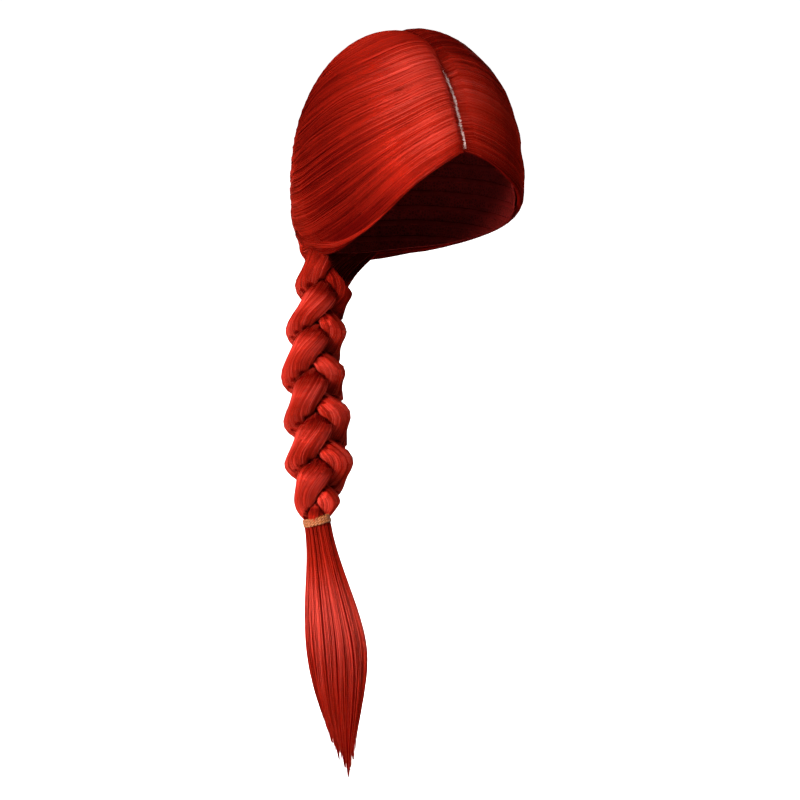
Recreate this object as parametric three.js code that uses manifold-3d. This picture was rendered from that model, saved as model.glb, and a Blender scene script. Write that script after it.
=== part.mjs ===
// Braided wig: two panels of straight hair swept from a centre parting over a fitted cap, gathered into one
// three-strand side braid that an elastic ties above a loose tail.
// Millimetres, +Z up. The wearer faces -Y, with the right ear towards -X, and the origin is where the crown
// of the head seats inside the cap.
import * as THREE from "three";
import Module from "manifold-3d";

const wasm = await Module();
wasm.setup();

// Head form that the cap fits, measured from its centre, which lies a crown height below the origin
const HEAD = {
  halfBreadth: 75,
  browReach: 95,
  backReach: 86,
  crownHeight: 114,
  napeDepth: 92,
  squareness: 2.06,
};
const CENTRE = new THREE.Vector3(0, 0, -HEAD.crownHeight);

// Clearances and walls
const SEAT_GAP = 0.4;
const CAP_WALL = 1.5;
const STRIP_BED = CAP_WALL + SEAT_GAP;
const HAIR_BED = CAP_WALL + 1.3;
const SEAM_GAP = 1.2;
const CUT_TOLERANCE = 0.02;

// Parting: angles along the middle of the head, 0 at the brow, 90 at the crown and 180 at the back
const PARTING = { hairline: 23, stripEnd: 62 };
const STRIP = { width: 5, wall: 1, inset: 1.5, steps: 8 };

// Rim of the cap, a row for each station round the head: turn runs from the brow towards the right ear,
// and rise is the angle above the level of the head form's centre
const CAP_RIM = [
  { at: "brow", turn: 0, rise: 28 },
  { at: "right_temple", turn: 26, rise: 10 },
  { at: "right_ear_tab", turn: 62, rise: -19 },
  { at: "right_nape", turn: 100, rise: -31 },
  { at: "back_right", turn: 145, rise: -36 },
  { at: "back_left", turn: 200, rise: -37 },
  { at: "left_nape", turn: 252, rise: -31 },
  { at: "left_ear_tab", turn: 298, rise: -14 },
  { at: "left_temple", turn: 332, rise: 14 },
];
const CAP_GRID = { ribs: 36, steps: 8 };

// Guide locks of the two panels, front edge first. Each leaves the parting at an angle and passes four
// stations, the last at the braid root; depth is how far its hair stands off the cap.
const RIGHT_LOCKS = [
  { lock: "front_edge", leaves: 23, turns: [22, 44, 66, 88], rises: [11, -9, -24, -31], depth: 6 },
  { lock: "temple", leaves: 42, turns: [32, 58, 82, 95], rises: [30, 11, -10, -28], depth: 9 },
  { lock: "ear", leaves: 60, turns: [38, 72, 102, 103], rises: [50, 34, 5, -26], depth: 11 },
  { lock: "crown", leaves: 84, turns: [82, 106, 120, 110], rises: [66, 38, 5, -26], depth: 9.8 },
  { lock: "behind", leaves: 102, turns: [140, 132, 131, 117], rises: [64, 32, -2, -27], depth: 11 },
  { lock: "back_seam", leaves: 118, turns: [164, 152, 140, 124], rises: [42, 16, -10, -28], depth: 12 },
];
const LEFT_LOCKS = [
  { lock: "front_edge", leaves: 23, turns: [-46, -112, 174, 97], rises: [-1, -30, -39, -46], depth: 6 },
  { lock: "temple", leaves: 42, turns: [-56, -120, 174, 101], rises: [17, -14, -31, -43], depth: 6 },
  { lock: "ear", leaves: 60, turns: [-66, -130, 172, 106], rises: [37, 4, -23, -39], depth: 9.5 },
  { lock: "crown", leaves: 84, turns: [-108, -152, 168, 112], rises: [58, 22, -13, -35], depth: 12 },
  { lock: "behind", leaves: 102, turns: [-160, 180, 155, 118], rises: [52, 20, -10, -31], depth: 12 },
  { lock: "back_seam", leaves: 118, turns: [164, 152, 140, 124], rises: [42, 16, -10, -28], depth: 12 },
];
const RIGHT_GRID = { along: 22, across: 17 };
const LEFT_GRID = { along: 27, across: 17 };

// How the depth of a panel changes along and across it, as shares of the guide locks' depth
const PANEL = {
  partingDepth: 0.42,
  partingRun: 0.3,
  rootDepth: 0.42,
  rootRun: 0.12,
  edgeDepth: 0.35,
  edgeRun: 0.1,
};
const LOCK_RELIEF = { ripples: 7, height: 0.7 };

// Braid: a row for each section down its axis. swing and cross are how far a strand weaves sideways and in
// depth, halfWidth and halfDepth the size of one strand there. The facings turn the braid and its tail, in
// degrees from the brow towards the wearer's right.
const BRAID_FACING = -14;
const TAIL_FACING = 16;
const BRAID_PITCH = 102;
const BRAID_PHASE = 77;
const BRAID_SECTIONS = [
  { at: "root", x: -63, y: 14, z: -155, swing: 9, cross: 5.5, halfWidth: 11.5, halfDepth: 9 },
  { at: "first_lobe", x: -67, y: 6, z: -176, swing: 10, cross: 6.5, halfWidth: 12, halfDepth: 10 },
  { at: "upper", x: -78, y: 0, z: -214.5, swing: 10.5, cross: 6.8, halfWidth: 12, halfDepth: 10 },
  { at: "upper_middle", x: -84.5, y: -8, z: -245, swing: 11.5, cross: 7, halfWidth: 12.5, halfDepth: 10.5 },
  { at: "lower_middle", x: -86, y: -18, z: -280, swing: 12, cross: 7.5, halfWidth: 13.5, halfDepth: 10.5 },
  { at: "lower", x: -89, y: -27, z: -315, swing: 12.5, cross: 7.5, halfWidth: 13.5, halfDepth: 10.5 },
  { at: "neck", x: -93.5, y: -33, z: -340, swing: 8.5, cross: 5.5, halfWidth: 9.5, halfDepth: 8 },
  { at: "tie", x: -94.6, y: -36, z: -355.5, swing: 3.8, cross: 3, halfWidth: 5, halfDepth: 4.6 },
];
const STRANDS = 3;
const STRAND_GAP = 2.5;
const STRAND_ROUNDING = 7;
const STRAND_GRID = { steps: 63, sides: 10 };
const FRONT_STRAND_BULGE = 1.2;
const LOBE_FILL = 0.22;
const LENGTH_DIVISIONS = 252;

// Nape lock: hair drawn from the nape to the back of the braid, a row for each section. rise is half its
// height as it hangs and depth half its thickness.
const NAPE_SECTIONS = [
  { at: "nape", x: 10, y: 69, z: -158, rise: 6, depth: 3.5 },
  { at: "beside_nape", x: -15, y: 61, z: -168, rise: 12, depth: 6 },
  { at: "below_ear", x: -37, y: 48, z: -180, rise: 16, depth: 7.5 },
  { at: "behind_braid", x: -55, y: 31, z: -196, rise: 16, depth: 7.5 },
  { at: "joining", x: -67, y: 19, z: -214, rise: 11, depth: 5.5 },
  { at: "end", x: -75, y: 11, z: -233, rise: 2.5, depth: 2 },
];
const NAPE_GRID = { steps: 14, sides: 10 };

// Elastic: turns of round cord wound round the end of the braid, tilted down towards the wearer's right
const TIE = { x: -94.6, y: -36, z: -354.5, halfWidth: 9.6, halfDepth: 8.4, tilt: 12 };
const TIE_CORD = { turns: 3, height: 2.7, bulge: 1.6, wall: 0.8, pointsPerTurn: 3, steps: 22 };

// Tail: hair below the elastic, a row for each lock. side and front place its widest point beside the tail's
// axis, tipSide its tip, and length is its share of the whole tail.
const TAIL_AXIS = [
  { at: "tie", x: -94.6, y: -36.1, z: -356.3 },
  { at: "upper", x: -89.5, y: -41, z: -400 },
  { at: "widest", x: -84.8, y: -46, z: -446.6 },
  { at: "lower", x: -83, y: -49, z: -494 },
  { at: "tip", x: -77, y: -52, z: -561 },
];
const TAIL_LOCKS = [
  { lock: "outer", side: -15, front: -1, tipSide: -9, length: 0.86, halfWidth: 7.5, halfDepth: 6 },
  { lock: "outer_front", side: -8, front: 4, tipSide: -5, length: 0.93, halfWidth: 7.5, halfDepth: 6 },
  { lock: "middle_front", side: 1, front: 5, tipSide: -1, length: 0.96, halfWidth: 8, halfDepth: 6.5 },
  { lock: "inner_front", side: 10, front: 4, tipSide: 1, length: 1, halfWidth: 7.5, halfDepth: 6 },
  { lock: "inner", side: 16.5, front: -1, tipSide: 6, length: 0.93, halfWidth: 7.5, halfDepth: 6 },
  { lock: "back_outer", side: -6, front: -6, tipSide: -3, length: 0.9, halfWidth: 8, halfDepth: 5.5 },
  { lock: "back_inner", side: 7, front: -6, tipSide: 3, length: 0.96, halfWidth: 8, halfDepth: 5.5 },
];
const TAIL_GRID = { steps: 9, sides: 8 };
const TAIL_TIED = { spread: 0.4, thickness: 0.5 };
const TAIL_WIDEST = 0.54;
const TAIL_TIP_RADIUS = 0.6;

const COLOURS = { hair: 0xa3150e, hairShade: 0x8e120c, parting: 0xd9b8a8, cap: 0x4a0d0b, elastic: 0xb9762f };

// Direction from the head form's centre, by its turn from the brow towards the right ear and its rise
function direction(turn, rise) {
  const t = THREE.MathUtils.degToRad(turn);
  const r = THREE.MathUtils.degToRad(rise);
  return new THREE.Vector3(-Math.sin(t) * Math.cos(r), -Math.cos(t) * Math.cos(r), Math.sin(r));
}

// Direction to the parting, at an angle over the head and shifted sideways by a distance on the scalp
function partingDirection(angle, sideways) {
  const a = THREE.MathUtils.degToRad(angle);
  const s = sideways / HEAD.crownHeight;
  return new THREE.Vector3(Math.sin(s), -Math.cos(a) * Math.cos(s), Math.sin(a) * Math.cos(s));
}

// Point of the head form in a direction, standing off it by an offset
function headPoint(dir, offset) {
  const height = (dir.z < 0 ? HEAD.napeDepth : HEAD.crownHeight) + offset;
  const reach = (dir.y < 0 ? HEAD.browReach : HEAD.backReach) + offset;
  const n = HEAD.squareness;
  const sum =
    Math.pow(Math.abs(dir.x) / (HEAD.halfBreadth + offset), n) +
    Math.pow(Math.abs(dir.y) / reach, n) +
    Math.pow(Math.abs(dir.z) / height, n);
  return dir.clone().multiplyScalar(Math.pow(sum, -1 / n)).add(CENTRE);
}

// Closed mesh collected from triangles of points, with equal points shared and empty triangles left out
class MeshBuilder {
  constructor() {
    this.positions = [];
    this.indices = [];
    this.seen = new Map();
  }

  index(point) {
    const key = point.toArray().map((value) => value.toFixed(3)).join(" ");
    if (!this.seen.has(key)) {
      this.seen.set(key, this.positions.length / 3);
      this.positions.push(point.x, point.y, point.z);
    }
    return this.seen.get(key);
  }

  triangle(a, b, c) {
    const corners = [this.index(a), this.index(b), this.index(c)];
    if (new Set(corners).size === 3) this.indices.push(...corners);
  }

  quad(a, b, c, d) {
    this.triangle(a, b, c);
    this.triangle(a, c, d);
  }

  geometry() {
    const made = new THREE.BufferGeometry();
    made.setAttribute("position", new THREE.Float32BufferAttribute(this.positions, 3));
    made.setIndex(this.indices);
    made.computeVertexNormals();
    return made;
  }
}

// Solid between an outer and an inner grid of points, closed by walls along the grids' open borders
function shell(outer, inner, wrapsAround) {
  const built = new MeshBuilder();
  const rows = outer.length - 1;
  const columns = outer[0].length - 1;
  for (let i = 0; i < rows; i += 1) {
    for (let j = 0; j < columns; j += 1) {
      built.quad(outer[i][j], outer[i][j + 1], outer[i + 1][j + 1], outer[i + 1][j]);
      built.quad(inner[i][j], inner[i + 1][j], inner[i + 1][j + 1], inner[i][j + 1]);
    }
    if (wrapsAround) continue;
    built.quad(outer[i][0], outer[i + 1][0], inner[i + 1][0], inner[i][0]);
    built.quad(outer[i][columns], inner[i][columns], inner[i + 1][columns], outer[i + 1][columns]);
  }
  for (let j = 0; j < columns; j += 1) {
    built.quad(outer[0][j], inner[0][j], inner[0][j + 1], outer[0][j + 1]);
    built.quad(outer[rows][j], outer[rows][j + 1], inner[rows][j + 1], inner[rows][j]);
  }
  return built.geometry();
}

// Solid lofted through closed rings, capped at both ends unless the last ring joins the first
function loft(rings, joinsUp) {
  const built = new MeshBuilder();
  const sides = rings[0].length;
  const spans = joinsUp ? rings.length : rings.length - 1;
  for (let i = 0; i < spans; i += 1) {
    const here = rings[i];
    const next = rings[(i + 1) % rings.length];
    for (let j = 0; j < sides; j += 1) {
      const k = (j + 1) % sides;
      built.quad(here[j], here[k], next[k], next[j]);
    }
  }
  if (joinsUp) return built.geometry();
  const middle = (ring) => ring.reduce((sum, p) => sum.add(p), new THREE.Vector3()).divideScalar(sides);
  const first = rings[0];
  const last = rings[rings.length - 1];
  for (let j = 0; j < sides; j += 1) {
    const k = (j + 1) % sides;
    built.triangle(middle(first), first[k], first[j]);
    built.triangle(middle(last), last[j], last[k]);
  }
  return built.geometry();
}

// The same geometry as a solid that can be joined and cut
function toSolid(geometry) {
  const mesh = new wasm.Mesh({
    numProp: 3,
    vertProperties: new Float32Array(geometry.getAttribute("position").array),
    triVerts: new Uint32Array(geometry.index.array),
  });
  return new wasm.Manifold(mesh);
}

// A joined or cut solid as a geometry, keeping its largest body
function fromSolid(solid) {
  const bodies = solid.decompose();
  bodies.sort((a, b) => b.volume() - a.volume());
  const mesh = bodies[0].simplify(CUT_TOLERANCE).getMesh();
  const made = new THREE.BufferGeometry();
  made.setAttribute("position", new THREE.Float32BufferAttribute(mesh.vertProperties, 3));
  made.setIndex([...mesh.triVerts]);
  made.computeVertexNormals();
  return made;
}

// Value of one column of a table at a share of the way down its rows, eased through every row
function column(rows, name, share) {
  const spline = new THREE.CatmullRomCurve3(rows.map((row) => new THREE.Vector3(row[name], 0, 0)));
  return spline.getPoint(share).x;
}

const smooth = (share) => THREE.MathUtils.smoothstep(share, 0, 1);
const quarterRound = (share) => Math.sqrt(1 - Math.pow(1 - THREE.MathUtils.clamp(share, 0, 1), 2));

// Cap: a thin fitted shell of ribs fanned from the crown to the rim
function capGeometry() {
  const rim = new THREE.CatmullRomCurve3(CAP_RIM.map((row) => direction(row.turn, row.rise)), true);
  const crown = new THREE.Vector3(0, 0, 1);
  const outer = [];
  const inner = [];
  for (let i = 0; i <= CAP_GRID.steps; i += 1) {
    const share = i / CAP_GRID.steps;
    const dirs = [];
    for (let j = 0; j <= CAP_GRID.ribs; j += 1) {
      const end = rim.getPoint((j % CAP_GRID.ribs) / CAP_GRID.ribs).normalize();
      const turnBy = new THREE.Quaternion().setFromUnitVectors(crown, end);
      dirs.push(crown.clone().applyQuaternion(new THREE.Quaternion().slerp(turnBy, share)));
    }
    outer.push(dirs.map((dir) => headPoint(dir, CAP_WALL)));
    inner.push(dirs.map((dir) => headPoint(dir, 0)));
  }
  return shell(outer, inner, true);
}

// Parting strip: a pale band on the cap between the two panels, from the hairline to the end of the parting
function stripGeometry() {
  const outer = [];
  const inner = [];
  for (let i = 0; i <= STRIP.steps; i += 1) {
    const from = PARTING.hairline + STRIP.inset;
    const angle = THREE.MathUtils.lerp(from, PARTING.stripEnd, i / STRIP.steps);
    const edges = [-STRIP.width / 2, 0, STRIP.width / 2].map((side) => partingDirection(angle, side));
    outer.push(edges.map((dir) => headPoint(dir, STRIP_BED + STRIP.wall)));
    inner.push(edges.map((dir) => headPoint(dir, STRIP_BED)));
  }
  return shell(outer, inner, false);
}

// Distance of a panel's first hairs from the middle of the parting
function partingHalfGap(angle) {
  const closing = THREE.MathUtils.smoothstep(angle, PARTING.stripEnd - 6, PARTING.stripEnd + 6);
  return THREE.MathUtils.lerp(STRIP.width / 2 + SEAT_GAP, SEAM_GAP / 2, closing);
}

// Guide lock as a curve of directions, side being 1 for the wearer's left and -1 for the right
function guideCurve(row, side) {
  const start = partingDirection(row.leaves, side * partingHalfGap(row.leaves));
  const stations = row.turns.map((turn, index) => direction(turn, row.rises[index]));
  return new THREE.CatmullRomCurve3([start, ...stations], false, "centripetal");
}

// Directions of a panel's grid, a row for each step from the parting to the root
function panelDirections(rows, grid, side) {
  const guides = rows.map((row) => guideCurve(row, side));
  const directions = [];
  for (let i = 0; i <= grid.along; i += 1) {
    const acrossHere = new THREE.CatmullRomCurve3(guides.map((guide) => guide.getPointAt(i / grid.along)));
    const shares = Array.from({ length: grid.across + 1 }, (_, j) => j / grid.across);
    const row = shares.map((share) => acrossHere.getPoint(share).normalize());
    moveEnd(row, -SEAM_GAP / 2);
    directions.push(row);
  }
  return directions;
}

// Moves the last direction of a row onwards over the head by a distance, or back where that is negative
function moveEnd(row, distance) {
  const last = row[row.length - 1];
  const beside = row[row.length - 2];
  const step = last.clone().sub(beside);
  const shift = Math.max(distance / HEAD.backReach, -0.5 * step.length());
  last.addScaledVector(step.normalize(), shift).normalize();
}

// Moves all four borders of a grid of directions outwards by a distance
function growBorders(directions, distance) {
  for (const row of directions) {
    moveEnd(row, distance);
    moveEnd(row.reverse(), distance);
    row.reverse();
  }
  for (let j = 0; j < directions[0].length; j += 1) {
    const line = directions.map((row) => row[j]);
    moveEnd(line, distance);
    moveEnd(line.reverse(), distance);
  }
}

// Panel of hair: its depth rises from the parting and closes at the root, and growth fattens it all round
function panelGeometry(rows, grid, side, growth) {
  const directions = panelDirections(rows, grid, side);
  if (growth > 0) growBorders(directions, growth);
  const outer = [];
  const inner = [];
  directions.forEach((row, i) => {
    const u = i / grid.along;
    const rise = THREE.MathUtils.lerp(PANEL.partingDepth, 1, quarterRound(u / PANEL.partingRun));
    const close = THREE.MathUtils.lerp(PANEL.rootDepth, 1, quarterRound((1 - u) / PANEL.rootRun));
    const depths = row.map((_, j) => {
      const v = j / grid.across;
      const edge = THREE.MathUtils.lerp(PANEL.edgeDepth, 1, quarterRound(v / PANEL.edgeRun));
      const ripple = LOCK_RELIEF.height * Math.cos(2 * Math.PI * LOCK_RELIEF.ripples * v) * smooth(u * 3);
      return column(rows, "depth", v) * rise * close * edge + ripple * close;
    });
    outer.push(row.map((dir, j) => headPoint(dir, HAIR_BED + depths[j] + growth)));
    inner.push(row.map((dir) => headPoint(dir, HAIR_BED - growth)));
  });
  return side < 0 ? shell(outer, inner, false) : shell(reversed(outer), reversed(inner), false);
}

const reversed = (rows) => rows.map((row) => [...row].reverse());

// Centre line of the braid with its sideways and depth axes
const tablePoint = (row) => new THREE.Vector3(row.x, row.y, row.z);
const braidAxis = new THREE.CatmullRomCurve3(BRAID_SECTIONS.map(tablePoint));

const braidLengths = braidAxis.getLengths(LENGTH_DIVISIONS);

function braidFrame(share, degrees) {
  const along = braidAxis.getTangent(share);
  const facing = THREE.MathUtils.degToRad(degrees);
  const side = new THREE.Vector3(Math.cos(facing), -Math.sin(facing), 0);
  side.addScaledVector(along, -side.dot(along)).normalize();
  const front = new THREE.Vector3().crossVectors(along, side);
  return { origin: braidAxis.getPoint(share), side, front, along };
}

// Centre of one strand beside the braid's axis, as [sideways, depth]
function strandCentre(strand, share) {
  const turns = braidLengths[Math.round(share * LENGTH_DIVISIONS)] / BRAID_PITCH + strand / STRANDS;
  const turn = 2 * Math.PI * turns + THREE.MathUtils.degToRad(BRAID_PHASE);
  const swing = column(BRAID_SECTIONS, "swing", share);
  const cross = column(BRAID_SECTIONS, "cross", share);
  return new THREE.Vector2(swing * Math.sin(turn), cross * Math.sin(2 * turn));
}

// How far a strand reaches from its centre in a direction: its own ellipse, pressed flat against the others
// and fuller on its outer side halfway through a swing, where it closes up to the next lobe
function strandReach(centres, strand, angle, share) {
  const ray = new THREE.Vector2(Math.cos(angle), Math.sin(angle));
  const halfWidth = column(BRAID_SECTIONS, "halfWidth", share);
  const halfDepth = column(BRAID_SECTIONS, "halfDepth", share);
  const swung = Math.abs(centres[strand].x) / column(BRAID_SECTIONS, "swing", share);
  const fuller = ray.x * centres[strand].x > 0 ? LOBE_FILL * 4 * swung * (1 - swung) : 0;
  const limits = [1 / Math.hypot(ray.x / (halfWidth * (1 + fuller)), ray.y / halfDepth)];
  centres.forEach((other, index) => {
    if (index === strand) return;
    const towards = other.clone().sub(centres[strand]);
    const apart = towards.length();
    const facing = towards.dot(ray) / apart;
    const inFront = (centres[strand].y - other.y) / apart;
    const half = apart / 2 - STRAND_GAP / 2 + FRONT_STRAND_BULGE * inFront;
    if (facing > 0) limits.push(half / facing);
  });
  const sum = limits.reduce((total, limit) => total + Math.pow(limit, -STRAND_ROUNDING), 0);
  return Math.pow(sum, -1 / STRAND_ROUNDING);
}

// One strand of the braid, fattened by a growth when it serves as a cutter
function strandGeometry(strand, growth) {
  const rings = [];
  for (let i = 0; i <= STRAND_GRID.steps; i += 1) {
    const share = i / STRAND_GRID.steps;
    const frame = braidFrame(share, BRAID_FACING);
    const centres = Array.from({ length: STRANDS }, (_, index) => strandCentre(index, share));
    const ring = [];
    for (let j = 0; j < STRAND_GRID.sides; j += 1) {
      const angle = (2 * Math.PI * j) / STRAND_GRID.sides;
      const reach = strandReach(centres, strand, angle, share) + growth;
      const point = frame.origin.clone();
      point.addScaledVector(frame.side, centres[strand].x + reach * Math.cos(angle));
      point.addScaledVector(frame.front, centres[strand].y + reach * Math.sin(angle));
      ring.push(point);
    }
    rings.push(ring);
  }
  return loft(rings, false);
}

// Nape lock as one flattened lock that hangs as it goes
function napeGeometry() {
  const path = new THREE.CatmullRomCurve3(NAPE_SECTIONS.map(tablePoint));
  const rings = [];
  for (let i = 0; i <= NAPE_GRID.steps; i += 1) {
    const share = i / NAPE_GRID.steps;
    const along = path.getTangent(share);
    const hang = new THREE.Vector3(0, 0, -1).addScaledVector(along, along.z).normalize();
    const out = new THREE.Vector3().crossVectors(along, hang);
    const ring = [];
    for (let j = 0; j < NAPE_GRID.sides; j += 1) {
      const angle = (2 * Math.PI * j) / NAPE_GRID.sides;
      const point = path.getPoint(share);
      point.addScaledVector(hang, column(NAPE_SECTIONS, "rise", share) * Math.cos(angle));
      point.addScaledVector(out, column(NAPE_SECTIONS, "depth", share) * Math.sin(angle));
      ring.push(point);
    }
    rings.push(ring);
  }
  return loft(rings, false);
}

// Head form grown by an offset, as a cutter that keeps the hollow for the head clear
function headCutter(offset) {
  const sides = 32;
  const rows = 16;
  const rings = [];
  for (let i = 1; i < rows; i += 1) {
    const rise = THREE.MathUtils.lerp(90, -90, i / rows);
    const turns = Array.from({ length: sides }, (_, j) => (360 * j) / sides);
    rings.push(turns.map((turn) => headPoint(direction(turn, rise), offset)));
  }
  return toSolid(loft(rings, false));
}

// Elastic as one ring, with rounded turns outside and a plain wall inside; growth makes it a cutter
function tieGeometry(growth) {
  const frame = braidFrame(1, TAIL_FACING);
  const centre = new THREE.Vector3(TIE.x, TIE.y, TIE.z);
  const tilt = new THREE.Quaternion().setFromAxisAngle(frame.front, THREE.MathUtils.degToRad(-TIE.tilt));
  const half = (TIE_CORD.turns * TIE_CORD.height) / 2;
  const points = TIE_CORD.turns * TIE_CORD.pointsPerTurn;
  const profile = [];
  for (let k = 0; k <= points; k += 1) {
    const height = THREE.MathUtils.lerp(-half, half, k / points);
    const inTurn = (2 * (k % TIE_CORD.pointsPerTurn)) / TIE_CORD.pointsPerTurn - 1;
    const bulge = growth > 0 ? 1 : Math.sqrt(1 - inTurn * inTurn);
    profile.push({ out: TIE_CORD.bulge * bulge + growth, up: height * (1 + growth / half) });
  }
  profile.push({ out: -TIE_CORD.wall - growth, up: half + growth });
  profile.push({ out: -TIE_CORD.wall - growth, up: -half - growth });
  const rings = [];
  for (let i = 0; i < TIE_CORD.steps; i += 1) {
    const angle = (2 * Math.PI * i) / TIE_CORD.steps;
    rings.push(profile.map(({ out, up }) => {
      const point = new THREE.Vector3();
      point.addScaledVector(frame.side, (TIE.halfWidth + out) * Math.cos(angle));
      point.addScaledVector(frame.front, (TIE.halfDepth + out) * Math.sin(angle));
      point.addScaledVector(frame.along, -up);
      return point.applyQuaternion(tilt).add(centre);
    }));
  }
  return loft(rings, true);
}

const tailAxis = new THREE.CatmullRomCurve3(TAIL_AXIS.map(tablePoint));

// One lock of the tail: gathered at the elastic, fullest at the widest point and drawn out to its tip
function tailLock(row) {
  const { side, front } = braidFrame(1, TAIL_FACING);
  const rings = [];
  for (let i = 0; i <= TAIL_GRID.steps; i += 1) {
    const share = i / TAIL_GRID.steps;
    const opening = smooth(share / TAIL_WIDEST);
    const closing = smooth((share - TAIL_WIDEST) / (1 - TAIL_WIDEST));
    const spread = THREE.MathUtils.lerp(TAIL_TIED.spread, 1, opening);
    const sideways = THREE.MathUtils.lerp(row.side * spread, row.tipSide, closing);
    const forward = row.front * spread * (1 - closing);
    const girth = THREE.MathUtils.lerp(TAIL_TIED.thickness, 1, opening) * Math.sqrt(1 - closing);
    const centre = tailAxis.getPointAt(share * row.length);
    centre.addScaledVector(side, sideways).addScaledVector(front, forward);
    const ring = [];
    for (let j = 0; j < TAIL_GRID.sides; j += 1) {
      const angle = (2 * Math.PI * j) / TAIL_GRID.sides;
      const point = centre.clone();
      point.addScaledVector(side, Math.max(row.halfWidth * girth, TAIL_TIP_RADIUS) * Math.cos(angle));
      point.addScaledVector(front, Math.max(row.halfDepth * girth, TAIL_TIP_RADIUS) * Math.sin(angle));
      ring.push(point);
    }
    rings.push(ring);
  }
  return toSolid(loft(rings, false));
}

const group = new THREE.Group();

function addPart(name, geometry, colour, roughness) {
  const material = new THREE.MeshStandardMaterial({ color: colour, roughness, metalness: 0 });
  const mesh = new THREE.Mesh(geometry, material);
  mesh.name = name;
  group.add(mesh);
}

// Neighbours grown by the seat gap, to trim what tucks in beside or under them
const rightCutter = toSolid(panelGeometry(RIGHT_LOCKS, RIGHT_GRID, -1, SEAT_GAP));
const leftCutter = toSolid(panelGeometry(LEFT_LOCKS, LEFT_GRID, 1, SEAT_GAP));
const tieCutter = toSolid(tieGeometry(SEAT_GAP));
const rootCutter = rightCutter.add(leftCutter).add(headCutter(HAIR_BED)).add(tieCutter);

const strip = toSolid(stripGeometry()).subtract(rightCutter).subtract(leftCutter);
const leftPanel = toSolid(panelGeometry(LEFT_LOCKS, LEFT_GRID, 1, 0)).subtract(rightCutter);
addPart("wig_cap", capGeometry(), COLOURS.cap, 0.9);
addPart("parting_strip", fromSolid(strip), COLOURS.parting, 0.8);
addPart("hair_panel_right", panelGeometry(RIGHT_LOCKS, RIGHT_GRID, -1, 0), COLOURS.hair, 0.4);
addPart("hair_panel_left", fromSolid(leftPanel), COLOURS.hair, 0.4);
let nape = toSolid(napeGeometry()).subtract(rootCutter);
for (let strand = 0; strand < STRANDS; strand += 1) {
  nape = nape.subtract(toSolid(strandGeometry(strand, SEAT_GAP)));
}
addPart("nape_lock", fromSolid(nape), COLOURS.hairShade, 0.4);
for (let strand = 0; strand < STRANDS; strand += 1) {
  const cut = toSolid(strandGeometry(strand, 0)).subtract(rootCutter);
  addPart(`braid_strand_${strand + 1}`, fromSolid(cut), COLOURS.hairShade, 0.4);
}
addPart("elastic_tie", tieGeometry(0), COLOURS.elastic, 0.7);
const tail = TAIL_LOCKS.map(tailLock).reduce((sum, lock) => sum.add(lock)).subtract(tieCutter);
addPart("tail", fromSolid(tail), COLOURS.hair, 0.4);

export default group;
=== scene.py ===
"""Looks of the braided wig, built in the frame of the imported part.

Two hair panels, a three-strand side braid, its elastic and a loose tail are made of swept fibres over closed
under-forms. The cap and the parting strip keep their solids and get their finishes here.

Lengths of the hair are in millimetres, angles on the head and in the weave in degrees, and small turns of
single fibres in radians. Places along and across a lock are shares of it. Finishes and studio use metres.
"""

import logging
import math
from dataclasses import dataclass, field
from enum import Enum

import bpy
import numpy as np
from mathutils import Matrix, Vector
from mathutils.kdtree import KDTree


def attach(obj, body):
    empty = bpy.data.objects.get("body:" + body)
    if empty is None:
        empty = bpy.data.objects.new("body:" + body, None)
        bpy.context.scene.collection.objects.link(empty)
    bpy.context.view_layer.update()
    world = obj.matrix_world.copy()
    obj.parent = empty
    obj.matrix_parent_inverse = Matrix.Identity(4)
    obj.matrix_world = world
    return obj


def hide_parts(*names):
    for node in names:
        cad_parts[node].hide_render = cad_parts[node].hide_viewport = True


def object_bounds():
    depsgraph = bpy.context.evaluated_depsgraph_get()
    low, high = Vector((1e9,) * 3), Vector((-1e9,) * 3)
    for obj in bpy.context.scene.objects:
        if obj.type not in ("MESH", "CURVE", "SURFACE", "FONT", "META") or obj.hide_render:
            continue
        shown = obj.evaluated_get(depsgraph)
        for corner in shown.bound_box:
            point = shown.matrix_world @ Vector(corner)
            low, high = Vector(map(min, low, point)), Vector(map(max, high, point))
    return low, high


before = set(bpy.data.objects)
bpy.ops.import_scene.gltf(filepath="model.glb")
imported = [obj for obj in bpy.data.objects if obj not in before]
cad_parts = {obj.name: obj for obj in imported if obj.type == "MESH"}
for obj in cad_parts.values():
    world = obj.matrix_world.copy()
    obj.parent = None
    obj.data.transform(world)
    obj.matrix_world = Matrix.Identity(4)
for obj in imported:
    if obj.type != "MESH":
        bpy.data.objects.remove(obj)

log = logging.getLogger("braided_wig")

METRES = 0.001
# In millimetres: how far the hair stays off the head form, and the mean radius of a fibre.
BED = 2.8
FIBRE_RADIUS = 0.3
FIBRE_SPREAD = (0.75, 1.25)
FULL_TURN = 2.0 * math.pi
# Knots of a spline nearer than this count as one, and its length is measured in so many samples.
LEAST_KNOT = 1e-4
LENGTH_SAMPLES = 201
# Breadth of one band of a wave texture at a scale of one.
WAVE_BAND = math.pi / 10.0
CAD_BOX = [list(corner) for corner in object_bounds()]
FLOW_MAP = "flow"
TINT = "tint"
RADIUS = "fibre_radius"

Colour = tuple[float, float, float]
Place = tuple[float, float, float]
# Least and most, start and end, mean and spread, or width and depth.
Pair = tuple[float, float]
WHITE: Colour = (1.0, 1.0, 1.0)


class Slot(Enum):
    """Material slots of the part's record, passed along with the pieces made here."""

    HAIR = "hair"
    ELASTIC = "elastic"


class Side(Enum):
    """Side of the parting on which a panel lies, as the sign of its sideways axis."""

    RIGHT = -1
    LEFT = 1


def rgba(colour: Colour) -> tuple[float, float, float, float]:
    """Adds full opacity to a linear colour."""
    return (*colour, 1.0)


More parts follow.
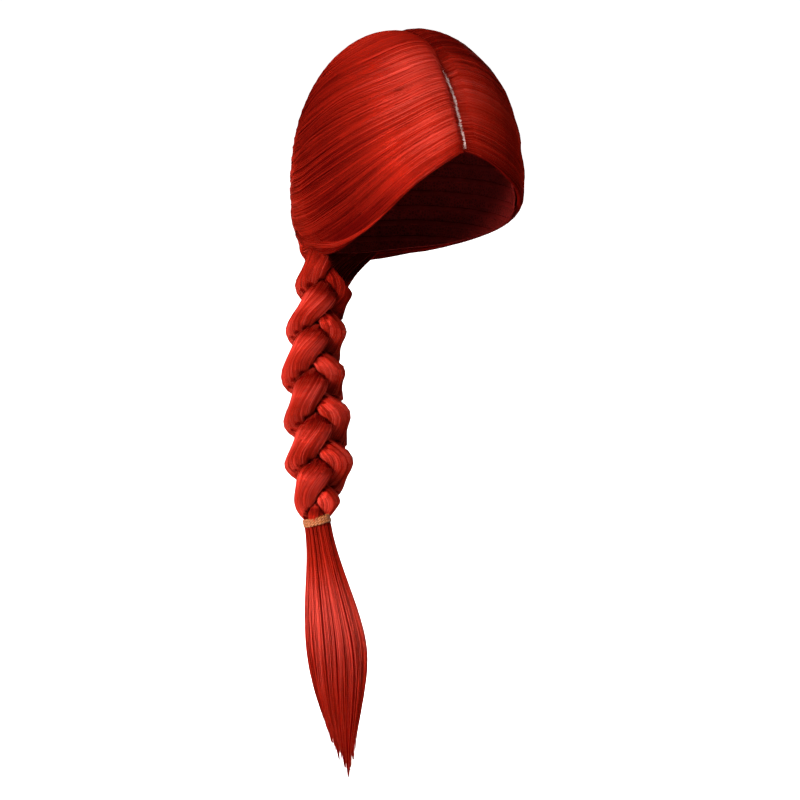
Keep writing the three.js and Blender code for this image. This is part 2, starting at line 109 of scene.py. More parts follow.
def smooth(share: np.ndarray) -> np.ndarray:
    """Eases shares from 0 to 1 with flat ends."""
    t = np.clip(share, 0.0, 1.0)
    return t * t * (3.0 - 2.0 * t)


def quarter_round(share: np.ndarray) -> np.ndarray:
    """Rises from 0 to 1 as a quarter of a circle."""
    return np.sqrt(1.0 - (1.0 - np.clip(share, 0.0, 1.0)) ** 2)


def mix(a: np.ndarray, b: np.ndarray, share: np.ndarray) -> np.ndarray:
    """Blends from a to b by a share."""
    return a + (b - a) * share


def unit(vectors: np.ndarray) -> np.ndarray:
    """Scales vectors to length one."""
    return vectors / np.linalg.norm(vectors, axis=-1, keepdims=True)


def spline(points: np.ndarray, shares: np.ndarray) -> np.ndarray:
    """Evaluates a centripetal spline through control points.

    Args:
        points: Control points, shaped (..., count, axes).
        shares: Shares from 0 to 1 of the way through the rows of points.

    Returns:
        Points of the spline, shaped (..., shares, axes).
    """
    before = 2.0 * points[..., :1, :] - points[..., 1:2, :]
    after = 2.0 * points[..., -1:, :] - points[..., -2:-1, :]
    padded = np.concatenate([before, points, after], axis=-2)
    spans = points.shape[-2] - 1
    place = np.clip(shares, 0.0, 1.0) * spans
    index = np.minimum(place.astype(int), spans - 1)
    t = (place - index)[:, None]
    p0, p1, p2, p3 = (padded[..., index + step, :] for step in range(4))
    pairs = ((p0, p1), (p1, p2), (p2, p3))
    knots = [np.sqrt(np.linalg.norm(b - a, axis=-1, keepdims=True)) for a, b in pairs]
    middle = np.where(knots[1] < LEAST_KNOT, 1.0, knots[1])
    first = np.where(knots[0] < LEAST_KNOT, middle, knots[0])
    last = np.where(knots[2] < LEAST_KNOT, middle, knots[2])
    leave = ((p1 - p0) / first - (p2 - p0) / (first + middle) + (p2 - p1) / middle) * middle
    arrive = ((p2 - p1) / middle - (p3 - p1) / (middle + last) + (p3 - p2) / last) * middle
    square = -3.0 * p1 + 3.0 * p2 - 2.0 * leave - arrive
    cube = 2.0 * p1 - 2.0 * p2 + leave + arrive
    return p1 + leave * t + square * t**2 + cube * t**3


def measured(points: np.ndarray, samples: int) -> tuple[np.ndarray, np.ndarray]:
    """Measures a spline from its start.

    Args:
        points: Control points, shaped (count, axes).
        samples: Number of places at which it is measured.

    Returns:
        Shares of the way through the rows of points, and the length up to each.
    """
    even = np.linspace(0.0, 1.0, samples)
    steps = np.linalg.norm(np.diff(spline(points, even), axis=0), axis=1)
    return even, np.concatenate([[0.0], np.cumsum(steps)])


def spline_by_length(points: np.ndarray, shares: np.ndarray) -> np.ndarray:
    """Evaluates a spline through control points at shares of its whole length."""
    even, lengths = measured(points, LENGTH_SAMPLES)
    return spline(points, np.interp(shares, lengths / lengths[-1], even))


def column(values: list[float], shares: np.ndarray) -> np.ndarray:
    """Eases one column of a table through its rows, at shares of the way down."""
    rows = np.array(values, float)[:, None]
    return spline(rows, np.atleast_1d(shares).ravel())[:, 0].reshape(np.shape(shares))


def even_grid(rows: int, columns: int) -> tuple[np.ndarray, np.ndarray]:
    """Spreads shares of the way along and across evenly over a grid."""
    return np.meshgrid(np.linspace(0.0, 1.0, rows), np.linspace(0.0, 1.0, columns), indexing="ij")


def wander(rng: np.random.Generator, fibres: int, shares: np.ndarray, waves: int) -> np.ndarray:
    """Makes a slow random drift for each fibre.

    Args:
        rng: Source of random numbers.
        fibres: Number of fibres.
        shares: Shares of a fibre's length.
        waves: Number of random sine waves that are added up.

    Returns:
        Drift of about -1 to 1, shaped (fibres, shares).
    """
    total = np.zeros((fibres, len(shares)))
    for wave in range(1, waves + 1):
        phase = rng.uniform(0.0, FULL_TURN, (fibres, 1))
        size = rng.normal(0.0, 1.0 / wave, (fibres, 1))
        total += size * np.sin(math.pi * wave * shares[None, :] + phase)
    return total / waves


@dataclass(frozen=True)
class Shade:
    """Painted light and shade in a tint: a change that is strongest at one place and falls off over a width
    on both sides of it.
    """

    amount: float
    place: float
    width: float

    def at(self, places: np.ndarray) -> np.ndarray:
        """Gives the change at some places."""
        return self.amount * np.exp(-(((places - self.place) / self.width) ** 2))


def spaced(rng: np.random.Generator, count: int) -> np.ndarray:
    """Spreads shares from 0 to 1, each at a random place in its own step."""
    return (np.arange(count) + rng.uniform(0.0, 1.0, count)) / count


def fibre_radii(rng: np.random.Generator, count: int, taper: np.ndarray) -> np.ndarray:
    """Gives each fibre a thickness of its own in millimetres, tapered along its points."""
    return FIBRE_RADIUS * rng.uniform(*FIBRE_SPREAD, (count, 1)) * taper[None, :]


def plain_fibres(
    rng: np.random.Generator, points: np.ndarray, tint: float, spread: float
) -> "FibreBundle":
    """Makes fibres that keep one tint and one thickness along their length.

    Args:
        rng: Source of random numbers.
        points: Points of the fibres, shaped (fibres, samples, 3).
        tint: Mean tint.
        spread: Standard deviation of the tint.

    Returns:
        The bundle of fibres.
    """
    count, samples, _ = points.shape
    tints = np.clip(rng.normal(tint, spread, (count, 1)), 0.0, 1.0) * np.ones((1, samples))
    return FibreBundle(points, fibre_radii(rng, count, np.ones(samples)), tints)


def tangents(path: np.ndarray, shares: np.ndarray, step: float = 1e-4) -> np.ndarray:
    """Gives the unit vectors along which a spline runs, from samples one step to each side."""
    return unit(spline(path, np.minimum(shares + step, 1.0)) - spline(path, np.maximum(shares - step, 0.0)))


def section_path(sections: tuple["BraidSection | NapeSection", ...]) -> np.ndarray:
    """Lists the places of sections, shaped (sections, 3)."""
    return np.array([(row.x, row.y, row.z) for row in sections])


def section_sizes(
    sections: tuple["BraidSection | NapeSection", ...], name: str, shares: np.ndarray
) -> np.ndarray:
    """Follows one size, named by its field, from section to section."""
    return column([getattr(row, name) for row in sections], shares)


def section_rings(sides: int, samples: int, share: float) -> np.ndarray:
    """Repeats one ring round a section, as places of -1 to 1 each way.

    Args:
        sides: Points of the ring.
        samples: Number of sections.
        share: Size of the ring.

    Returns:
        Places in the sections, shaped (sides, samples, 2).
    """
    angles = np.linspace(0.0, FULL_TURN, sides, endpoint=False)
    ring = np.stack([np.cos(angles), np.sin(angles)], axis=-1) * share
    return np.broadcast_to(ring[:, None, :], (sides, samples, 2))


def add_object(name: str, data: bpy.types.ID) -> bpy.types.Object:
    """Adds an object with its data to the scene."""
    made = bpy.data.objects.new(name, data)
    bpy.context.scene.collection.objects.link(made)
    return made


@dataclass(frozen=True)
class HeadForm:
    """Head that the cap fits, in millimetres below the seat at the crown."""

    half_breadth: float = 75.0
    brow_reach: float = 95.0
    back_reach: float = 86.0
    crown_height: float = 114.0
    nape_depth: float = 92.0
    squareness: float = 2.06

    @property
    def centre(self) -> np.ndarray:
        """Centre of the head form."""
        return np.array([0.0, 0.0, -self.crown_height])

    def reach(self, directions: np.ndarray, offset: np.ndarray) -> np.ndarray:
        """Measures how far the form reaches from its centre.

        Args:
            directions: Unit vectors from the centre.
            offset: Distance by which the form is grown.

        Returns:
            A distance for each direction.
        """
        x, y, z = np.moveaxis(np.abs(directions), -1, 0)
        height = np.where(directions[..., 2] < 0.0, self.nape_depth, self.crown_height) + offset
        length = np.where(directions[..., 1] < 0.0, self.brow_reach, self.back_reach) + offset
        n = self.squareness
        total = (x / (self.half_breadth + offset)) ** n + (y / length) ** n + (z / height) ** n
        return total ** (-1.0 / n)

    def point(self, directions: np.ndarray, offset: np.ndarray) -> np.ndarray:
        """Gives the points of the form, grown by an offset, in some directions."""
        return self.centre + directions * self.reach(directions, offset)[..., None]

    def keep_clear(self, points: np.ndarray, offset: float) -> np.ndarray:
        """Moves points that lie inside the grown form out to its surface.

        Args:
            points: Points in millimetres.
            offset: Distance by which the form is grown.

        Returns:
            The points, none of them inside.
        """
        away = points - self.centre
        distance = np.linalg.norm(away, axis=-1)
        directions = away / distance[..., None]
        return self.centre + directions * np.maximum(distance, self.reach(directions, offset))[..., None]


HEAD = HeadForm()


def direction(turn: np.ndarray, rise: np.ndarray) -> np.ndarray:
    """Gives directions by their turn from the brow towards the right ear and their rise, in degrees."""
    t = np.radians(turn)
    r = np.radians(rise)
    return np.stack([-np.sin(t) * np.cos(r), -np.cos(t) * np.cos(r), np.sin(r)], axis=-1)


def parting_direction(angle: float, sideways: float) -> np.ndarray:
    """Gives the direction of the parting at an angle over the head, shifted sideways on the scalp."""
    a = math.radians(angle)
    s = sideways / HEAD.crown_height
    return np.array([math.sin(s), -math.cos(a) * math.cos(s), math.sin(a) * math.cos(s)])


class NodeKit:
    """Nodes of one material, added and linked by short calls."""

    # Colour sockets of a mix node, whose sockets for other types have the same names.
    MIX_FIRST, MIX_SECOND = 6, 7
    MIX_RESULT = 2

    def __init__(self, name: str) -> None:
        """Starts an empty material with a principled shader."""
        self.material = bpy.data.materials.new(name)
        self.material.use_nodes = True
        self.tree = self.material.node_tree
        self.shader = self.tree.nodes["Principled BSDF"]

    def add(self, kind: str, **settings: object) -> bpy.types.Node:
        """Adds a node.

        Args:
            kind: Type of the node.
            settings: Properties of the node, or values of its sockets by name.

        Returns:
            The new node.
        """
        node = self.tree.nodes.new(kind)
        for name, value in settings.items():
            if hasattr(node, name):
                setattr(node, name, value)
            else:
                node.inputs[name.replace("_", " ").title()].default_value = value
        return node

    def link(self, source: bpy.types.NodeSocket, target: bpy.types.NodeSocket) -> None:
        """Links two sockets."""
        self.tree.links.new(source, target)

    def paint(self, colour: bpy.types.NodeSocket) -> None:
        """Gives the shader its base colour."""
        self.link(colour, self.shader.inputs["Base Color"])

    def ramp(
        self, source: bpy.types.NodeSocket, places: tuple[float, ...], colours: tuple[Colour, ...]
    ) -> bpy.types.NodeSocket:
        """Turns a value into a colour.

        Args:
            source: Socket with the value.
            places: Values at the stops of the ramp.
            colours: Linear colours of the stops.

        Returns:
            The socket with the colour.
        """
        node = self.add("ShaderNodeValToRGB")
        elements = node.color_ramp.elements
        while len(elements) < len(places):
            elements.new(0.5)
        for element, place, colour in zip(elements, places, colours):
            element.position = place
            element.color = rgba(colour)
        self.link(source, node.inputs["Fac"])
        return node.outputs["Color"]

    def noise(self, vector: bpy.types.NodeSocket, scale: Colour, detail: float) -> bpy.types.NodeSocket:
        """Adds noise stretched along the axes of a vector.

        Args:
            vector: Socket with the coordinates.
            scale: Waves per unit along each axis.
            detail: Octaves of finer noise.

        Returns:
            The socket with the noise.
        """
        stretch = self.add("ShaderNodeMapping", scale=scale)
        self.link(vector, stretch.inputs["Vector"])
        node = self.add("ShaderNodeTexNoise", scale=1.0, detail=detail)
        self.link(stretch.outputs["Vector"], node.inputs["Vector"])
        return node.outputs["Fac"]

    def bump(self, height: bpy.types.NodeSocket, distance: float, strength: float) -> None:
        """Raises the surface by a height, given in metres at a height of one."""
        node = self.add("ShaderNodeBump", distance=distance, strength=strength)
        self.link(height, node.inputs["Height"])
        self.link(node.outputs["Normal"], self.shader.inputs["Normal"])

    def finished(self, **values: object) -> bpy.types.Material:
        """Sets plain inputs of the shader.

        Args:
            values: Values of the inputs, by name in small letters.

        Returns:
            The material.
        """
        inputs = {socket.name.lower().replace(" ", "_"): socket for socket in self.shader.inputs}
        for name, value in values.items():
            inputs[name].default_value = value
        return self.material


@dataclass(frozen=True)
class FibreFinish:
    """Glossy synthetic fibre whose colour varies from fibre to fibre, and with the painted light and shade
    carried in its tint.
    """

    name: str = "hair_fibre"
    shaded: Colour = (0.017, 0.0003, 0.0002)
    middle: Colour = (0.066, 0.0023, 0.0009)
    bright: Colour = (0.155, 0.015, 0.0102)
    edge: Colour = (0.3, 0.03, 0.02)
    stops: tuple[float, ...] = (0.0, 0.55, 1.0)
    patches_per_metre: float = 38.0
    patch_strength: float = 0.16
    roughness: float = 0.38
    specular: float = 0.0
    lustre: float = 0.2

    def material(self) -> bpy.types.Material:
        """Makes the material from the fibres' own tint."""
        kit = NodeKit(self.name)
        tint = kit.add("ShaderNodeAttribute", attribute_name=TINT).outputs["Fac"]
        place = kit.add("ShaderNodeTexCoord").outputs["Object"]
        patches = kit.noise(place, (self.patches_per_metre,) * 3, 2.0)
        blend = kit.add("ShaderNodeMath", operation="MULTIPLY_ADD")
        kit.link(patches, blend.inputs[0])
        blend.inputs[1].default_value = self.patch_strength
        kit.link(tint, blend.inputs[2])
        shift = kit.add("ShaderNodeMath", operation="SUBTRACT", use_clamp=True)
        kit.link(blend.outputs[0], shift.inputs[0])
        shift.inputs[1].default_value = self.patch_strength / 2.0
        kit.paint(kit.ramp(shift.outputs[0], self.stops, (self.shaded, self.middle, self.bright)))
        return kit.finished(
            roughness=self.roughness,
            specular_ior_level=self.specular,
            specular_tint=rgba(self.edge),
            metallic=self.lustre,
        )


@dataclass(frozen=True)
class UnderHairFinish:
    """Packed hair below the outer fibres, in streaks along the flow of the hair, its colours kept darker than
    the fibres' as painted shade in the gaps between them.
    """

    name: str = "hair_packed"
    shaded: Colour = (0.008, 0.0001, 0.0001)
    middle: Colour = (0.022, 0.0004, 0.0002)
    bright: Colour = (0.045, 0.0009, 0.0005)
    streaks_across: float = 260.0
    streaks_along: float = 5.0
    stops: tuple[float, ...] = (0.3, 0.5, 0.72)
    streak_height: float = 0.0009
    streak_strength: float = 0.9
    roughness: float = 0.45
    specular: float = 0.0

    def material(self) -> bpy.types.Material:
        """Makes the material from the flow map."""
        kit = NodeKit(self.name)
        flow = kit.add("ShaderNodeUVMap", uv_map=FLOW_MAP).outputs["UV"]
        streaks = kit.noise(flow, (self.streaks_along, self.streaks_across, 1.0), 3.0)
        kit.paint(kit.ramp(streaks, self.stops, (self.shaded, self.middle, self.bright)))
        kit.bump(streaks, self.streak_height, self.streak_strength)
        return kit.finished(roughness=self.roughness, specular_ior_level=self.specular)


@dataclass(frozen=True)
class NetFinish:
    """Dark stretch net with sewn weft rows, for the cap."""

    name: str = "cap_net"
    thread: Colour = (0.022, 0.0013, 0.0011)
    gap: Colour = (0.012, 0.0008, 0.0007)
    weft: Colour = (0.02, 0.0011, 0.0009)
    mesh_per_metre: float = 420.0
    rows_per_metre: float = 85.0
    thread_edges: Pair = (0.06, 0.2)
    row_waviness: float = 0.6
    row_edges: Pair = (0.72, 0.86)
    row_height: float = 0.0012
    row_strength: float = 0.8
    roughness: float = 0.85
    specular: float = 0.0

    def material(self) -> bpy.types.Material:
        """Makes the material on object coordinates."""
        kit = NodeKit(self.name)
        place = kit.add("ShaderNodeTexCoord").outputs["Object"]
        cells = kit.add("ShaderNodeTexVoronoi", feature="DISTANCE_TO_EDGE", scale=self.mesh_per_metre)
        kit.link(place, cells.inputs["Vector"])
        net = kit.ramp(cells.outputs["Distance"], self.thread_edges, (self.thread, self.gap))
        rows = kit.add("ShaderNodeTexWave", wave_type="BANDS", bands_direction="Z", wave_profile="SIN")
        rows.inputs["Scale"].default_value = self.rows_per_metre * WAVE_BAND
        rows.inputs["Distortion"].default_value = self.row_waviness
        kit.link(place, rows.inputs["Vector"])
        low, high = self.row_edges
        band = kit.add("ShaderNodeMapRange", from_min=low, from_max=high)
        kit.link(rows.outputs["Fac"], band.inputs["Value"])
        both = kit.add("ShaderNodeMix", data_type="RGBA")
        kit.link(band.outputs["Result"], both.inputs["Factor"])
        kit.link(net, both.inputs[NodeKit.MIX_FIRST])
        both.inputs[NodeKit.MIX_SECOND].default_value = rgba(self.weft)
        kit.paint(both.outputs[NodeKit.MIX_RESULT])
        kit.bump(band.outputs["Result"], self.row_height, self.row_strength)
        return kit.finished(roughness=self.roughness, specular_ior_level=self.specular)


@dataclass(frozen=True)
class PartingFinish:
    """Pale scalp fabric, dotted with the knots of the hair."""

    name: str = "parting_fabric"
    fabric: Colour = (0.2, 0.135, 0.125)
    knot: Colour = (0.06, 0.015, 0.012)
    knots_per_metre: float = 620.0
    knot_edges: Pair = (0.12, 0.3)
    knot_height: float = 0.0004
    knot_strength: float = 0.5
    roughness: float = 0.7

    def material(self) -> bpy.types.Material:
        """Makes the material on object coordinates."""
        kit = NodeKit(self.name)
        place = kit.add("ShaderNodeTexCoord").outputs["Object"]
        cells = kit.add("ShaderNodeTexVoronoi", feature="F1", scale=self.knots_per_metre)
        kit.link(place, cells.inputs["Vector"])
        kit.paint(kit.ramp(cells.outputs["Distance"], self.knot_edges, (self.knot, self.fabric)))
        kit.bump(cells.outputs["Distance"], self.knot_height, self.knot_strength)
        return kit.finished(roughness=self.roughness)


@dataclass(frozen=True)
class ElasticFinish:
    """Covered elastic cord with fine wound threads."""

    name: str = "elastic_cord"
    light: Colour = (0.055, 0.0128, 0.0008)
    dark: Colour = (0.028, 0.006, 0.0008)
    threads_per_metre: float = 2200.0
    thread_edges: Pair = (0.1, 0.45)
    thread_height: float = 0.0004
    thread_strength: float = 0.6
    roughness: float = 0.62
    specular: float = 0.12

    def material(self) -> bpy.types.Material:
        """Makes the material from the ply's tint and fine noise."""
        kit = NodeKit(self.name)
        tint = kit.add("ShaderNodeAttribute", attribute_name=TINT).outputs["Fac"]
        place = kit.add("ShaderNodeTexCoord").outputs["Object"]
        threads = kit.noise(place, (self.threads_per_metre,) * 3, 2.0)
        both = kit.add("ShaderNodeMath", operation="MULTIPLY")
        kit.link(tint, both.inputs[0])
        kit.link(threads, both.inputs[1])
        kit.paint(kit.ramp(both.outputs[0], self.thread_edges, (self.dark, self.light)))
        kit.bump(threads, self.thread_height, self.thread_strength)
        return kit.finished(roughness=self.roughness, specular_ior_level=self.specular)


@dataclass(frozen=True)
class FloorFinish:
    """Plain pale studio floor that stays white away from the lights."""

    name: str = "studio_floor"
    colour: Colour = (0.75, 0.75, 0.75)
    near_glow: float = 0.15
    far_glow: float = 0.95
    near: float = 0.6
    far: float = 4.0
    roughness: float = 0.8

    def material(self) -> bpy.types.Material:
        """Makes the plain material, with a glow that grows outwards."""
        kit = NodeKit(self.name)
        place = kit.add("ShaderNodeTexCoord").outputs["Object"]
        distance = kit.add("ShaderNodeVectorMath", operation="LENGTH")
        kit.link(place, distance.inputs[0])
        limits = {"from_min": self.near, "from_max": self.far}
        glows = {"to_min": self.near_glow, "to_max": self.far_glow}
        glow = kit.add("ShaderNodeMapRange", interpolation_type="SMOOTHSTEP", **limits, **glows)
        kit.link(distance.outputs["Value"], glow.inputs["Value"])
        kit.link(glow.outputs["Result"], kit.shader.inputs["Emission Strength"])
        return kit.finished(
            base_color=rgba(self.colour), roughness=self.roughness, emission_color=rgba(WHITE)
        )


class SweepTree:
    """Node tree that sweeps a round profile along the lines of a mesh, as thick as each line says."""

    SIDES = "Profile sides"
    THICKNESS = "Thickness"
    FINISH = "Finish"

    def __init__(self) -> None:
        """Builds the tree."""
        self.tree = bpy.data.node_groups.new("fibre_sweep", "GeometryNodeTree")
        face = self.tree.interface
        face.new_socket("Geometry", in_out="INPUT", socket_type="NodeSocketGeometry")
        face.new_socket(self.SIDES, in_out="INPUT", socket_type="NodeSocketInt").default_value = 3
        face.new_socket(self.THICKNESS, in_out="INPUT", socket_type="NodeSocketFloat").default_value = 1.0
        face.new_socket(self.FINISH, in_out="INPUT", socket_type="NodeSocketMaterial")
        face.new_socket("Geometry", in_out="OUTPUT", socket_type="NodeSocketGeometry")
        nodes = self.tree.nodes
        link = self.tree.links.new
        start = nodes.new("NodeGroupInput")
        lines = nodes.new("GeometryNodeMeshToCurve")
        profile = nodes.new("GeometryNodeCurvePrimitiveCircle")
        thickness = nodes.new("GeometryNodeInputNamedAttribute")
        thickness.data_type = "FLOAT"
        thickness.inputs["Name"].default_value = RADIUS
        sweep = nodes.new("GeometryNodeCurveToMesh")
        sweep.inputs["Fill Caps"].default_value = True
        shade = nodes.new("GeometryNodeSetShadeSmooth")
        realize = nodes.new("GeometryNodeRealizeInstances")
        dress = nodes.new("GeometryNodeSetMaterial")
        end = nodes.new("NodeGroupOutput")
        link(start.outputs["Geometry"], lines.inputs["Mesh"])
        link(start.outputs[self.SIDES], profile.inputs["Resolution"])
        link(start.outputs[self.THICKNESS], profile.inputs["Radius"])
        link(lines.outputs["Curve"], sweep.inputs["Curve"])
        link(profile.outputs["Curve"], sweep.inputs["Profile Curve"])
        link(thickness.outputs["Attribute"], sweep.inputs["Scale"])
        link(sweep.outputs["Mesh"], shade.inputs["Geometry"])
        link(shade.outputs["Geometry"], realize.inputs["Geometry"])
        link(realize.outputs["Geometry"], dress.inputs["Geometry"])
        link(start.outputs[self.FINISH], dress.inputs["Material"])
        link(dress.outputs["Geometry"], end.inputs["Geometry"])

    def identifier(self, name: str) -> str:
        """Finds the identifier of a named input."""
        sockets = [item for item in self.tree.interface.items_tree if item.item_type == "SOCKET"]
        return next(item.identifier for item in sockets if item.in_out == "INPUT" and item.name == name)


@dataclass
class FibreBundle:
    """Lines that become fibres, in millimetres."""

    points: np.ndarray
    radii: np.ndarray
    tints: np.ndarray

    @staticmethod
    def joined(bundles: list["FibreBundle"]) -> "FibreBundle":
        """Joins bundles whose fibres have the same number of points."""
        return FibreBundle(
            np.concatenate([bundle.points for bundle in bundles]),
            np.concatenate([bundle.radii for bundle in bundles]),
            np.concatenate([bundle.tints for bundle in bundles]),
        )

    def build(
        self, name: str, sweep: SweepTree, finish: bpy.types.Material, sides: int = 3
    ) -> bpy.types.Object:
        """Sweeps the lines into one plain mesh of closed tubes.

        Args:
            name: Name of the piece.
            sweep: Node tree that sweeps the profile.
            finish: Material of the piece.
            sides: Sides of the profile.

        Returns:
            The finished object.
        """
        fibres, samples, _ = self.points.shape
        mesh = bpy.data.meshes.new(name + "_lines")
        mesh.vertices.add(fibres * samples)
        mesh.vertices.foreach_set("co", (self.points * METRES).astype(np.float32).ravel())
        starts = (np.arange(fibres)[:, None] * samples + np.arange(samples - 1)[None, :]).ravel()
        mesh.edges.add(len(starts))
        mesh.edges.foreach_set("vertices", np.stack([starts, starts + 1], axis=1).astype(np.int32).ravel())
        radius = mesh.attributes.new(RADIUS, "FLOAT", "POINT")
        radius.data.foreach_set("value", (self.radii * METRES).astype(np.float32).ravel())
        tint = mesh.attributes.new(TINT, "FLOAT", "POINT")
        tint.data.foreach_set("value", self.tints.astype(np.float32).ravel())
        made = add_object(name, mesh)
        modifier = made.modifiers.new("sweep", "NODES")
        modifier.node_group = sweep.tree
        modifier[sweep.identifier(SweepTree.SIDES)] = sides
        modifier[sweep.identifier(SweepTree.FINISH)] = finish
        swept = bpy.data.meshes.new_from_object(made.evaluated_get(bpy.context.evaluated_depsgraph_get()))
        made.modifiers.clear()
        made.data = swept
        swept.name = name
        bpy.data.meshes.remove(mesh)
        return made


class FormMesh:
    """Closed under-forms made from grids and rings of points, with a flow map along the hair."""

    FLOW_ROUND = 0.2

    def __init__(self) -> None:
        """Starts with no faces."""
        self.points: list[np.ndarray] = []
        self.faces: list[tuple[int, ...]] = []
        self.flow: list[tuple[float, float]] = []
        self.count = 0

    def add_points(self, points: np.ndarray, flow: np.ndarray) -> int:
        """Adds points with their flow coordinates and returns the index of the first."""
        first = self.count
        self.points.append(points.reshape(-1, 3))
        self.flow.extend(map(tuple, flow.reshape(-1, 2)))
        self.count += len(self.points[-1])
        return first

    def add_shell(self, outer: np.ndarray, inner: np.ndarray, flow: np.ndarray, flip: bool) -> None:
        """Adds a closed wall between two grids.

        Args:
            outer: Points of the outer face, shaped (rows, columns, 3).
            inner: Points of the inner face, of the same shape.
            flow: Flow coordinates, shaped (rows, columns, 2).
            flip: Whether the faces turn the other way round.
        """
        rows, columns, _ = outer.shape
        top = self.add_points(outer, flow)
        low = self.add_points(inner, flow)
        faces = []
        for i in range(rows - 1):
            for j in range(columns - 1):
                a, b = i * columns + j, (i + 1) * columns + j
                faces.append((top + a, top + a + 1, top + b + 1, top + b))
                faces.append((low + a, low + b, low + b + 1, low + a + 1))
            a, b = i * columns, (i + 1) * columns
            c, d = a + columns - 1, b + columns - 1
            faces.append((top + a, top + b, low + b, low + a))
            faces.append((top + c, low + c, low + d, top + d))
        last = (rows - 1) * columns
        for j in range(columns - 1):
            faces.append((top + j, low + j, low + j + 1, top + j + 1))
            faces.append((top + last + j, top + last + j + 1, low + last + j + 1, low + last + j))
        self.faces.extend(face[::-1] if flip else face for face in faces)

    def add_loft(self, lines: np.ndarray, lengthwise: np.ndarray) -> None:
        """Adds a closed form lofted through rings.

        Args:
            lines: Points of the lines that run along the form, shaped (sides, rings, 3).
            lengthwise: Flow coordinate of each ring.
        """
        rings = np.swapaxes(lines, 0, 1)
        count, sides, _ = rings.shape
        around = np.abs(np.linspace(-1.0, 1.0, sides, endpoint=False))
        flow = np.broadcast_arrays(lengthwise[:, None], around[None, :] * self.FLOW_ROUND)
        first = self.add_points(rings, np.stack(flow, axis=-1))
        for i in range(count - 1):
            for j in range(sides):
                k = (j + 1) % sides
                a, b = first + i * sides, first + (i + 1) * sides
                self.faces.append((a + j, a + k, b + k, b + j))
        end = first + (count - 1) * sides
        self.faces.append(tuple(first + j for j in reversed(range(sides))))
        self.faces.append(tuple(end + j for j in range(sides)))

    def build(self, name: str, finish: bpy.types.Material) -> bpy.types.Object:
        """Makes the object.

        Args:
            name: Name of the piece.
            finish: Material of the piece.

        Returns:
            The finished object.
        """
        mesh = bpy.data.meshes.new(name)
        mesh.from_pydata((np.concatenate(self.points) * METRES).tolist(), [], self.faces)
        layer = mesh.uv_layers.new(name=FLOW_MAP)
        corners = np.zeros(len(mesh.loops), np.int32)
        mesh.loops.foreach_get("vertex_index", corners)
        layer.data.foreach_set("uv", np.array(self.flow, np.float32)[corners].ravel())
        mesh.polygons.foreach_set("use_smooth", np.ones(len(mesh.polygons), bool))
        mesh.materials.append(finish)
        return add_object(name, mesh)


def settle(piece: bpy.types.Object, slot: Slot, *nodes: str) -> None:
    """Hands a finished piece to the frame.

    Args:
        piece: The finished object.
        slot: Material slot of the part's record; not used.
        nodes: Solids that it stands for.
    """
    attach(piece, "root")
    if nodes:
        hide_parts(*nodes)
    triangles = sum(len(face.vertices) - 2 for face in piece.data.polygons)
    log.info("%s: %d triangles", piece.name, triangles)


@dataclass(frozen=True)
class GuideLock:
    """Lock that hair follows from the parting to the braid root, by its stations in degrees."""

    leaves: float
    turns: tuple[float, ...]
    rises: tuple[float, ...]
    depth: float = 0.0


@dataclass
class HairFlow:
    """Field of directions between guide locks, along from the parting to the root and across to the back."""

    side: Side
    locks: tuple[GuideLock, ...]
    strip_half: float = 2.9
    seam_half: float = 0.6
    strip_end: float = 62.0
    close_lead: float = 6.0
    close_length: float = 12.0
    grid: tuple[int, int] = (141, 181)
    directions: np.ndarray = field(init=False)

    def __post_init__(self) -> None:
        """Works out the directions of the grid."""
        rows, columns = self.grid
        guides = np.stack([self.guide(lock, np.linspace(0.0, 1.0, rows)) for lock in self.locks], axis=1)
        self.directions = unit(spline(guides, np.linspace(0.0, 1.0, columns)))

    def guide(self, lock: GuideLock, shares: np.ndarray) -> np.ndarray:
        """Follows one guide lock.

        Args:
            lock: The lock.
            shares: Shares of its length.

        Returns:
            Directions from the head's centre, shaped (shares, 3).
        """
        past_lead = lock.leaves - self.strip_end + self.close_lead
        closing = smooth(np.array(past_lead / self.close_length))
        gap = mix(self.strip_half, self.seam_half, closing)
        start = parting_direction(lock.leaves, self.side.value * float(gap))
        stations = direction(np.array(lock.turns), np.array(lock.rises))
        return spline_by_length(np.concatenate([start[None, :], stations]), shares)

    def look_up(self, along: np.ndarray, across: np.ndarray) -> np.ndarray:
        """Reads directions between the points of the grid.

        Args:
            along: Shares of the way from the parting to the root.
            across: Shares of the way from the front edge to the back seam.

        Returns:
            Directions from the head's centre.
        """
        rows, columns = self.grid
        a = np.clip(along, 0.0, 1.0) * (rows - 1)
        b = np.clip(across, 0.0, 1.0) * (columns - 1)
        i = np.minimum(a.astype(int), rows - 2)
        j = np.minimum(b.astype(int), columns - 2)
        s, t = (a - i)[..., None], (b - j)[..., None]
        near = mix(self.directions[i, j], self.directions[i, j + 1], t)
        far = mix(self.directions[i + 1, j], self.directions[i + 1, j + 1], t)
        return unit(mix(near, far, s))

    def leaving_angle(self, across: np.ndarray) -> np.ndarray:
        """Gives the angles over the head at which hair leaves the parting."""
        return column([lock.leaves for lock in self.locks], np.clip(across, 0.0, 1.0))


